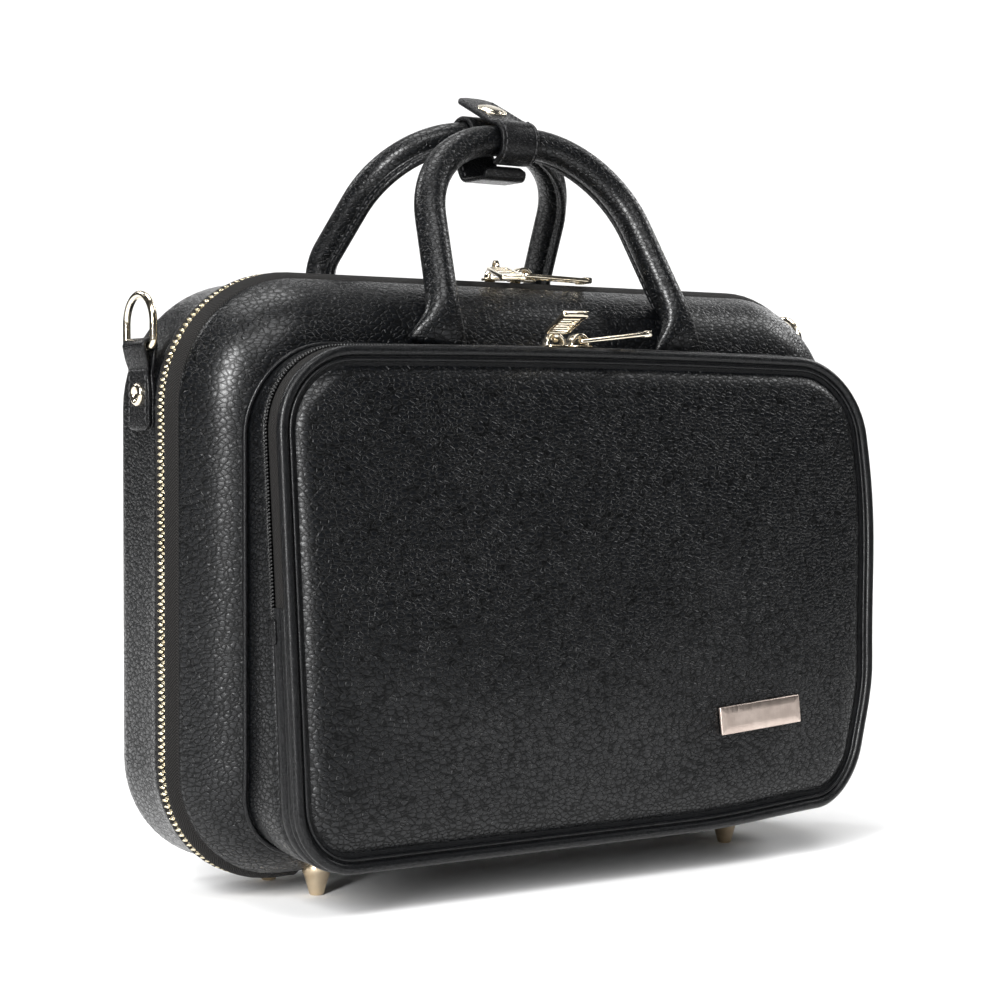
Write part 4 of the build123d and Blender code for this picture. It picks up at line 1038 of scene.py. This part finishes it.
FRONT_STATIONS = (
    (-58.8, -33.5, 198.5), (-56.2, -34.4, 209.0), (-45.0, 0.0, 280.2),
    (41.0, 0.0, 280.2), (54.3, -34.6, 209.0), (53.5, -33.5, 198.5),
)
BACK_STATIONS = (
    (-53.5, 52.4, 193.5), (-53.5, 57.2, 206.0), (-53.3, 59.5, 234.0), (-42.5, 19.0, 283.5),
    (38.5, 19.0, 283.5), (50.8, 57.5, 232.0), (55.5, 57.2, 206.0), (55.5, 52.4, 193.5),
)
sewn_handle("front", FRONT_STATIONS, (30.0, 42.5, 42.5, 30.0), (0, 0.9, -0.43))
sewn_handle("back", BACK_STATIONS, (12.0, 18.0, 40.0, 40.0, 18.0, 12.0), (0, -1, 0.2))

# %% [markdown]
# ## Handle wrap
# One strap gathers both handles. It runs over the front handle and ends in a flap with a press snap; its other
# part is a sling under the front handle that loops round the back one.

# %% Handle wrap
WRAP_X = -3.3
WRAP_WIDTH = 17.4
SLING_WIDTH = 19.4
WRAP_LEATHER = 1.8
LOOP_RADIUS = 7.8
FLAP_TILT = radians(25.0)
FLAP_WAY = Vector((0, cos(FLAP_TILT), sin(FLAP_TILT)))
FLAP_OUT = Vector((0, -sin(FLAP_TILT), cos(FLAP_TILT)))
FLAP_HINGE = Vector((WRAP_X, 0.3, 288.4))
FRONT_LOOP = Vector((WRAP_X, 0.0, 279.7))
BACK_LOOP = Vector((WRAP_X, 19.0, 283.0))


def wrap_piece(name, path, width, corners, nodes):
    """Strap of the wrap with a row of stitches along each edge."""
    grid = new_grid()
    add_ribbon(grid, path, AXIS_X, width, WRAP_LEATHER, corners)
    piece = make_piece(name, grid, fine_leather, None, nodes)
    grid = new_grid()
    line = refine(path)[3:-5]
    for offset in (-width / 2 + 1.7, width / 2 - 1.7):
        add_ribbon_stitches(grid, line, AXIS_X, offset, -WRAP_LEATHER / 2, 2.9)
    return piece, make_piece(name + "_stitches", grid, thread)


flap_run = [FLAP_HINGE - FLAP_OUT * WRAP_LEATHER / 2 + FLAP_WAY * k for k in (2.0, 6.0, 12.0, 28.0)]
front_path = arc_points(FRONT_LOOP, LOOP_RADIUS, 268, 88, 34, AXIS_Y, AXIS_Z) + flap_run
for piece in wrap_piece("wrap_front_strap", front_path, WRAP_WIDTH, (2.0, 5.5), ["wrap_front", "wrap_flap"]):
    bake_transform(piece)

sling = [Vector((WRAP_X, 1.8, 270.6)), Vector((WRAP_X, 3.6, 266.3)), Vector((WRAP_X, 18.5, 266.3))]
loop = arc_points(BACK_LOOP, LOOP_RADIUS, -35, 228, 44, AXIS_Y, AXIS_Z)
back_path = rounded_route(sling + loop[:1], (2.0, 5.0), 1.0) + loop[1:]
for piece in wrap_piece("wrap_back_strap", back_path, SLING_WIDTH, (3.0, 3.0), ["wrap_back"]):
    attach(piece, "back_handle")

# %% [markdown]
# The snap has a domed cap with a thin rim, a ring socket under the flap, and a post on the back loop. All three
# stand on one line, square to the flap.

# %% Press snap
SNAP_PLACE = 12.5
# (radius, height) of the domed cap, the ring socket and the post
DOME = (
    (6.0, -0.1), (6.0, 0.3), (5.8, 0.55), (5.5, 0.6), (5.3, 0.45), (5.1, 0.5), (4.6, 0.95), (3.4, 1.3), (1.8, 1.46),
    (0.1, 1.5),
)
SOCKET = ((4.25, -0.1), (4.25, 0.4), (3.9, 0.7), (3.2, 1.2), (2.5, 1.2), (2.2, 0.8), (2.1, 0.2), (0.1, 0.2))
POST = ((0.1, 0.0), (1.5, 0.05), (2.0, 0.35), (2.0, 0.9), (1.6, 1.3), (1.6, 1.9), (2.9, 2.1), (3.0, 2.4), (3.0, 4.2))
snap_spot = FLAP_HINGE + FLAP_WAY * SNAP_PLACE
for name, profile, below, way, body, node in (
    ("snap_dome", DOME, 0.0, FLAP_OUT, "wrap_flap", "snap_cap"),
    ("snap_ring", SOCKET, WRAP_LEATHER, -FLAP_OUT, "wrap_flap", "snap_socket"),
    ("snap_post", POST, WRAP_LEATHER + 1.5, -FLAP_OUT, "back_handle", "snap_stud"),
):
    grid = new_grid()
    add_turned(grid, profile, snap_spot - FLAP_OUT * below, way)
    make_piece(name, grid, pale_gold, body, [node])

# %% [markdown]
# ## Strap rings
# A tab of folded leather holds each D-ring. Its two layers are pinched together under the ring's bar by a row of
# stitches, and held to the shell by a rivet with a hollow middle.

# %% Tabs, rivets and rings
TAB_Y, TAB_WIDTH, TAB_LEAF, TAB_FACE_X = 16.6, 16.4, 1.5, 154.0
RING_X, RING_BAR_Z = 153.0, 198.0
RING_HALF, RING_WIRE, RING_CORNER, RING_RISE = 10.6, 1.4, 2.2, 8.2
RIVET_Z = 181.0
OUTER_LEAF = ((153.25, 168.2), (153.25, 186.5), (153.45, 190.5), (154.6, 194.5))
INNER_LEAF = ((151.1, 194.5), (151.5, 190.5), (151.6, 186.5), (151.6, 168.2))
RIVET_PROFILE = (
    (4.2, -0.3), (4.2, 0.35), (4.0, 0.9), (3.5, 1.35), (2.9, 1.5), (2.35, 1.3), (1.9, 0.8), (1.5, 0.2), (0.1, 0.1),
)


def pinched(share):
    """Width of the tab: narrower where its layers are sewn together under the ring."""
    return 1 - 0.13 * exp(-(((share - 0.29) / 0.05) ** 2)) - 0.13 * exp(-(((share - 0.71) / 0.05) ** 2))


for side, name in ((-1, "left"), (1, "right")):
    bar = Vector((side * RING_X, TAB_Y, RING_BAR_Z))
    out = AXIS_X * side
    outer, inner = [[Vector((side * x, TAB_Y, z)) for x, z in leaf] for leaf in (OUTER_LEAF, INNER_LEAF)]
    path = outer + arc_points(bar, 2.45, 8, 172, 14, out, AXIS_Z) + inner
    grid = new_grid()
    add_ribbon(grid, path, AXIS_Y, TAB_WIDTH, TAB_LEAF, (3.0, 3.0), 0.55, pinched)
    make_piece("tab_leather_" + name, grid, fine_leather, "back_half", ["strap_tab_" + name])
    grid = new_grid()
    pinch_seam = [Vector((side * 154.15, TAB_Y + y, 189.6)) for y in (-6.2, 6.2)]
    add_stitches(grid, pinch_seam, lambda p, w, out=out: out, 2.7)
    for y in (-6.3, 6.3):
        edge_seam = [Vector((side * TAB_FACE_X, TAB_Y + y, z)) for z in (171.0, 188.0)]
        add_stitches(grid, edge_seam, lambda p, w, out=out: out, 2.9)
    make_piece("tab_stitches_" + name, grid, thread, "back_half")

    aside, above = AXIS_Y * (RING_HALF - RING_CORNER), AXIS_Z * RING_CORNER
    right, left = bar + aside + above, bar - aside + above
    ring_path = arc_points(right, RING_CORNER, -90, 0, 6, AXIS_Y, AXIS_Z)
    ring_path += arc_points(bar + AXIS_Z * RING_RISE, RING_HALF, 0, 180, 40, AXIS_Y, AXIS_Z)
    ring_path += arc_points(left, RING_CORNER, 180, 270, 6, AXIS_Y, AXIS_Z)
    ring_path += [left.lerp(right, k / 6) - above for k in range(1, 6)]
    ring = loft(strip_rows(ring_path, AXIS_X, round_section(RING_WIRE), closed=True), wrap=True, closed=True)
    make_piece("ring_wire_" + name, ring, pale_gold, "d_ring_" + name, ["d_ring_" + name])

grid = new_grid()
for side in (-1, 1):
    add_turned(grid, RIVET_PROFILE, Vector((side * TAB_FACE_X, TAB_Y, RIVET_Z)), AXIS_X * side)
make_piece("cup_rivets", grid, pale_gold, "back_half", ["tab_rivets"])

# %% [markdown]
# ## Underside
# Four turned feet keep the leather off the table. Between them a strip of leather, sewn along both edges, is the
# hinge of the case; here it is one fixed piece.

# %% Feet and hinge strip
FOOT_X = 96.8
FOOT_PROFILE = (
    (0.1, 0.0), (1.9, 0.0), (2.4, 0.12), (2.7, 0.5), (2.95, 1.3), (3.4, 3.0), (4.3, 6.2), (4.8, 7.6), (5.2, 8.1),
    (5.2, 13.0),
)
for half, y in (("front", -11.3), ("back", 24.0)):
    grid = new_grid()
    for side in (-1, 1):
        add_turned(grid, FOOT_PROFILE, Vector((side * FOOT_X, y, 0)), AXIS_Z, 40)
    make_piece(half + "_cone_feet", grid, foot_gold, half + "_half", [half + "_feet"])

STRIP_HALF, STRIP_REACH, STRIP_LOW, STRIP_GROOVE = 91.0, 8.9, 7.2, 0.5
strip_across = [-STRIP_REACH + 0.5 + k * 0.69 for k in range(25)]
strip_section = [(-STRIP_REACH, 9.9), (-STRIP_REACH, 7.9)]
strip_section += [(y, STRIP_LOW + STRIP_GROOVE * exp(-((y / 1.3) ** 2))) for y in strip_across]
strip_section += [(STRIP_REACH, 7.7), (STRIP_REACH, 9.0), (2.6, 9.0), (-2.6, 9.0)]
rows = [[mm(x, y, z) for y, z in strip_section] for x in [-STRIP_HALF + 4.55 * k for k in range(41)]]
strip_nodes = ["hinge_strip_back", "hinge_strip_front"]
strip = loft(rows, wrap=True, cap=True)
strip = make_piece("hinge_strip", strip, fine_leather, None, strip_nodes)
grid = new_grid()
for y in (-6.6, 6.6):
    add_stitches(grid, [Vector((x, y, STRIP_LOW)) for x in (-89.0, 89.0)], lambda p, w: -AXIS_Z, 3.2)
strip_stitches = make_piece("hinge_strip_stitches", grid, thread)
for piece in (strip, strip_stitches):
    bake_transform(piece)

# %% [markdown]
# Small leather tabs cover the ends of both zips, so that the sliders can't run off and the tape doesn't fray.

# %% Zip end tabs
grid = new_grid()
for side in (-1, 1):
    add_slab(grid, Vector((side * 99.6, 3.9, 9.0)), AXIS_X, -AXIS_Y, (4.2, 7.2, 2.6), 1.2, 0.6)
make_piece("main_end_tabs", grid, fine_leather, "back_half", ["zip_end_tabs"])
grid = new_grid()
for side in (-1, 1):
    spot = leaning(side * 134.1, 99.3, COIL_PLACE)
    add_slab(grid, spot, LEAN_UP * side, LEAN_OUT, (9.0, 4.8, 1.15), 1.4, 0.4)
make_piece("pocket_end_tabs", grid, fine_leather, "front_half", ["pocket_zip_tabs"])

# %% [markdown]
# ## Sliders and pulls
# Each slider is a cast plate with a bridge. A ladder-shaped pull hangs on it: two rails, cross-bars, and a heavier
# bar at its end. Two of the pulls hang by an eye, and two have their first bar under the bridge.

# %% Sliders and ladder pulls
PULL_LENGTH, PULL_WIDTH, PULL_THICKNESS, PULL_RAIL = 29.0, 9.6, 1.6, 1.7
# A pull with an eye starts this far from it and is this much shorter; its eye has this radius
EYE_START, EYE_SHORTER, EYE_RADIUS = 2.9, 3.1, 2.55
SLIDER_SIZE, SLIDER_CORNER, BRIDGE_RADIUS, BRIDGE_THICKNESS, BRIDGE_LEG = (10.4, 9.0, 1.0), 3.0, 3.9, 1.4, 0.7
FLANGE_Y, FLANGE_WIDTH, FLANGE_THICKNESS = 3.9, 4.4, 1.2
# The plates' lower faces on both zips, and how far the pocket's coil lies from the seam at the top
MAIN_BASE_Z, POCKET_BASE_Z, COIL_Y = 226.3, 199.2, -37.883


def add_slider(grid, x, y, base, drop, bridge_width):
    """Slider whose plate starts at base; its flange goes down by drop on the side that carries it."""
    flange = (FLANGE_WIDTH, FLANGE_THICKNESS, drop + 0.5)
    add_slab(grid, Vector((x, y, base)), AXIS_X, AXIS_Y, SLIDER_SIZE, SLIDER_CORNER, 0.35)
    add_slab(grid, Vector((x, y + FLANGE_Y, base - drop)), AXIS_X, AXIS_Y, flange, 0.4, 0.25)
    top = Vector((x, y, base + SLIDER_SIZE[2]))
    arch = arc_points(top, BRIDGE_RADIUS, 180, 0, 22, AXIS_X, AXIS_Z)
    arch = [arch[0] - AXIS_Z * BRIDGE_LEG] + arch + [arch[-1] - AXIS_Z * BRIDGE_LEG]
    rows = strip_rows(arch, AXIS_Y, bar_section(bridge_width, BRIDGE_THICKNESS, 0.55))
    loft(rows, wrap=True, cap=True, grid=grid)


def add_pull(grid, origin, yaw, pitch, eye):
    """Ladder pull from its turning point, aimed by yaw and pitch in degrees."""
    a, b = radians(yaw), radians(pitch)
    ahead = Vector((cos(a) * cos(b), sin(a) * cos(b), sin(b)))
    out = Vector((-cos(a) * sin(b), -sin(a) * sin(b), cos(b)))
    beside = out.cross(ahead)
    start = EYE_START if eye else -PULL_RAIL / 2
    length = PULL_LENGTH - EYE_SHORTER if eye else PULL_LENGTH
    half_l, half_w, corner = length / 2 - PULL_RAIL / 2, PULL_WIDTH / 2 - PULL_RAIL / 2, 1.3
    middle = origin + ahead * (start + length / 2)
    frame_path = []
    for cx, cy, turn in ((1, 1, 0), (-1, 1, 90), (-1, -1, 180), (1, -1, 270)):
        centre = middle + ahead * cx * (half_l - corner) + beside * cy * (half_w - corner)
        frame_path += arc_points(centre, corner, turn, turn + 90, 5, ahead, beside)
    section = bar_section(PULL_THICKNESS, PULL_RAIL, 0.5)
    loft(strip_rows(frame_path, out, section, closed=True), wrap=True, closed=True, grid=grid)
    pitch_run = (length - PULL_RAIL) / 4
    for index in (1, 2, 3):
        spot = origin + ahead * (start + PULL_RAIL / 2 + pitch_run * index)
        bar = [spot + beside * w for w in (-half_w, -half_w / 2, 0, half_w / 2, half_w)]
        loft(strip_rows(bar, out, section), wrap=True, cap=True, grid=grid)
    spot = origin + ahead * (start + length - 1.8)
    tip = [spot + beside * w for w in (-half_w - 0.7, -half_w, 0, half_w, half_w + 0.7)]
    loft(strip_rows(tip, out, bar_section(2.3, 3.4, 0.6)), wrap=True, cap=True, grid=grid)
    if eye:
        ring = arc_points(origin, EYE_RADIUS, 0, 345, 23, ahead, out)
        loft(strip_rows(ring, beside, bar_section(1.8, 1.1, 0.4), closed=True), wrap=True, closed=True, grid=grid)


for name, x, y, base, drop, bridge in (
    ("main_slider_left", -9.7, 0.0, MAIN_BASE_Z, 1.9, 3.3),
    ("main_slider_right", 2.4, 0.0, MAIN_BASE_Z, 1.9, 4.6),
    ("pocket_slider_left", -9.5, COIL_Y, POCKET_BASE_Z, 1.6, 3.3),
    ("pocket_slider_right", 1.5, COIL_Y, POCKET_BASE_Z, 1.6, 4.6),
):
    grid = new_grid()
    add_slider(grid, x, y, base, drop, bridge)
    make_piece(name + "_cast", grid, pale_gold, name, [name])

for name, origin, yaw, pitch, eye in (
    ("main_pull_left", (-9.7, 0.0, 231.2), -111, -11, True),
    ("main_pull_right", (2.4, 0.0, 228.7), -14, -3, False),
    ("pocket_pull_left", (-9.5, COIL_Y, 204.1), -110, 13, True),
    ("pocket_pull_right", (1.5, COIL_Y, 201.6), -20, 7, False),
):
    grid = new_grid()
    add_pull(grid, Vector(origin), yaw, pitch, eye)
    make_piece(name + "_ladder", grid, pale_gold, name, [name])

# %% [markdown]
# ## Plate
# A bare bevelled plate sits low on the right of the panel. It lies on the leather, so its tilt comes from the
# height of the panel at points round it.

# %% Bare plate
PLATE_X, PLATE_Z, PLATE_SIZE, PLATE_TURN = 70.6, 59.6, (40.6, 10.7, 1.5), radians(3.0)
plate_right = (on_panel(PLATE_X + 17, PLATE_Z) - on_panel(PLATE_X - 17, PLATE_Z)).normalized()
plate_up = (on_panel(PLATE_X, PLATE_Z + 4.5) - on_panel(PLATE_X, PLATE_Z - 4.5)).normalized()
plate_out = plate_right.cross(plate_up).normalized()
plate_right = (plate_right * cos(PLATE_TURN) + plate_up * sin(PLATE_TURN)).normalized()
plate_up = plate_out.cross(plate_right)
grid = new_grid()
add_slab(grid, on_panel(PLATE_X, PLATE_Z, 0.1), plate_right, plate_up, PLATE_SIZE, 0.5, 0.5)
make_piece("bare_plate", grid, plate_gold, "front_half", ["name_plate"])

# %% [markdown]
# ## Lining
# Inside, the back half holds a plush-covered block with a trough for each part of the instrument. Its face is a
# grid that fills the outline, and every point sinks by how far it lies inside a trough. The lid has a thin pad.

# %% Plush block and lid pad
# Each trough: middle x and z, length, width, depth
TROUGHS = (
    (0, 188.7, 246, 34, 27), (0, 139.7, 262, 40, 29), (-70, 80.7, 128, 54, 33), (62, 80.7, 112, 52, 24),
    (0, 30.3, 190, 20, 20),
)
TROUGH_CORNER, TROUGH_WALL = 9.0, 7.0
RIM_DROP, RIM_SPREAD = 2.4, 1.6


def half_width(z, inset):
    """Half the width of the case's outline at a height, drawn in by an inset."""
    width, height, low, top_radius, bottom_radius = CASE
    half, base, top = width / 2 - inset, low + inset, low + height - inset
    rt, rb = top_radius - inset, bottom_radius - inset
    if z > top - rt:
        return half - rt + sqrt(max(rt**2 - (z - top + rt) ** 2, 0.0))
    if z < base + rb:
        return half - rb + sqrt(max(rb**2 - (base + rb - z) ** 2, 0.0))
    return half


def trough_depth(x, z):
    """How far the plush sinks at a point."""
    sunk = 0.0
    for cx, cz, length, width, depth in TROUGHS:
        dx, dz = abs(x - cx) - length / 2 + TROUGH_CORNER, abs(z - cz) - width / 2 + TROUGH_CORNER
        inside = TROUGH_CORNER - (hypot(dx, dz) if dx > 0 and dz > 0 else max(dx, dz))
        if inside > 0:
            s = min(inside / TROUGH_WALL, 1.0)
            sunk = max(sunk, depth * (1 - (1 - s) ** 2.4))
    return sunk


def lining(name, inset, face, sink, back, columns, levels, body, node):
    """Plush cushion that fills the outline: its face is at depth face(sink(x, z)), and its rim goes to back."""
    rows = []
    for k in range(levels + 1):
        z = CASE[2] + inset + 0.05 + (CASE[1] - 2 * inset - 0.1) * k / levels
        w = half_width(z, inset)
        xs = [w * (2 * k / columns - 1) for k in range(columns + 1)]
        row = []
        for x in xs:
            rim = max(inset_from(CASE, x, z) - inset, 0.0)
            row.append(mm(x, face(sink(x, z) + RIM_DROP * exp(-rim / RIM_SPREAD)), z))
        rows.append([mm(xs[0], back, z)] + row + [mm(xs[-1], back, z)])
    low, high = [[Vector((p.x, back * MM, p.z)) for p in row] for row in (rows[0], rows[-1])]
    piece = make_piece(name, loft([low] + rows + [high]), plush, body, [node])


def pad_seams(x, z):
    """Sewn channels across the lid pad."""
    return sum(2.2 * exp(-abs(z - seam) / 2.2) for seam in PAD_SEAMS)


LINING_IN, PAD_IN = 8.3, 12.9
PAD_SEAMS = (70.0, 116.0, 162.0)
lining(
    "plush_block", LINING_IN, lambda sunk: 5.0 + sunk, trough_depth, 41.0, 124, 88, "back_half", "instrument_block"
)
lining("plush_lid_pad", PAD_IN, lambda sunk: -16.2 - sunk, pad_seams, -21.0, 60, 70, "front_half", "lid_pad")

# %% [markdown]
# ## Camera, floor and light
# A long lens stands a little above the table, at the case's front left. The fit to the photograph put the lens
# axis slightly above the middle of the picture, so the camera has a small vertical shift.

# %% Camera
CAMERA_PLACE = Vector((-0.5279, -0.7419, 0.1639))
CAMERA_TARGET = Vector((-0.00764, 0.0, 0.14733))
camera_data = bpy.data.cameras.new("camera")
camera_data.lens = 84.226
camera_data.sensor_width = 36.0
camera_data.shift_y = -0.0148
camera = add_object("camera", camera_data)
camera.location = CAMERA_PLACE
camera.rotation_euler = (CAMERA_TARGET - CAMERA_PLACE).to_track_quat("-Z", "Y").to_euler()
bpy.context.scene.camera = camera
bpy.context.scene.view_settings.view_transform = "Standard"
print("camera", round((CAMERA_TARGET - CAMERA_PLACE).length, 3), "m from its target")

# %% [markdown]
# A studio floor is one sheet of white paper that curves up behind the table, so no edge shows. It is cleared from
# below with the Backfacing output, to let a view of the underside through.

# %% Floor and backdrop
SWEEP_START, SWEEP_FLAT, SWEEP_BEND, SWEEP_TOP, SWEEP_HALF = -1.2, 3.0, 1.5, 6.0, 1.8
sweep = [(SWEEP_START, 0.0), (SWEEP_FLAT, 0.0)]
for angle in (radians(a) for a in range(10, 91, 10)):
    sweep.append((SWEEP_FLAT + SWEEP_BEND * sin(angle), SWEEP_BEND - SWEEP_BEND * cos(angle)))
sweep.append((SWEEP_FLAT + SWEEP_BEND, SWEEP_TOP))
heading = (CAMERA_TARGET - CAMERA_PLACE).xy.normalized()
beside = Vector((heading.y, -heading.x))
rows = []
for reach, height in sweep:
    spots = [heading * reach + beside * SWEEP_HALF * share for share in (-1, -0.5, 0, 0.5, 1)]
    rows.append([Vector((*spot, height)) for spot in spots])
paper, tree, shader = new_finish("white_paper", Roughness=0.9)
shader.inputs["Base Color"].default_value = (0.9, 0.9, 0.9, 1)
clear = add_node(tree, "ShaderNodeBsdfTransparent")
underside = add_node(tree, "ShaderNodeNewGeometry").outputs["Backfacing"]
pick = add_node(tree, "ShaderNodeMixShader", {0: underside, 1: shader.outputs[0], 2: clear.outputs[0]})
result = next(node for node in tree.nodes if node.type == "OUTPUT_MATERIAL")
tree.links.new(pick.outputs[0], result.inputs["Surface"])
floor = add_object("floor", make_mesh("floor", loft(rows), paper))
print("floor", len(floor.data.polygons), "faces")


# %% [markdown]
# A tall strip of light on the left draws the bright line along the rounded edges, which is what shows black
# leather. The others are weak: they keep the top readable, rim the right side, and make floor and backdrop white.


# %% Lights
def soft_light(name, place, aim, width, height, power):
    """Rectangular area light that looks at a point."""
    data = bpy.data.lights.new(name, "AREA")
    data.shape = "RECTANGLE"
    data.size, data.size_y, data.energy = width, height, power
    light = add_object(name, data)
    light.location = place
    light.rotation_euler = (Vector(aim) - Vector(place)).to_track_quat("-Z", "Y").to_euler()


# Each light: place, aim, width and height in metres, power in watts
CASE_MIDDLE = (0, 0, 0.12)
soft_light("left_strip", (-1.6, -1.15, 1.0), CASE_MIDDLE, 0.3, 1.4, 92)
soft_light("overhead", (0.0, 0.4, 2.2), CASE_MIDDLE, 1.4, 1.0, 24)
soft_light("right_rim", (2.0, 0.9, 1.2), CASE_MIDDLE, 0.5, 0.7, 5)
soft_light("floor_fill", (-0.4, -1.5, 2.0), (0.15, -0.45, 0.0), 1.2, 1.0, 26)
BACKDROP_FAR = 4.2
backdrop_aim = (heading.x * BACKDROP_FAR, heading.y * BACKDROP_FAR, 1.0)
for side in (-1, 1):
    place = heading * 1.6 + beside * side * 2.6
    soft_light("backdrop_light", (place.x, place.y, 2.4), backdrop_aim, 1.6, 1.6, 92)
world = bpy.data.worlds.new("studio")
bpy.context.scene.world = world
world.use_nodes = True
background = world.node_tree.nodes["Background"]
background.inputs["Color"].default_value = (1, 1, 1, 1)
background.inputs["Strength"].default_value = 0.04
print("lights:", len(bpy.data.lights))
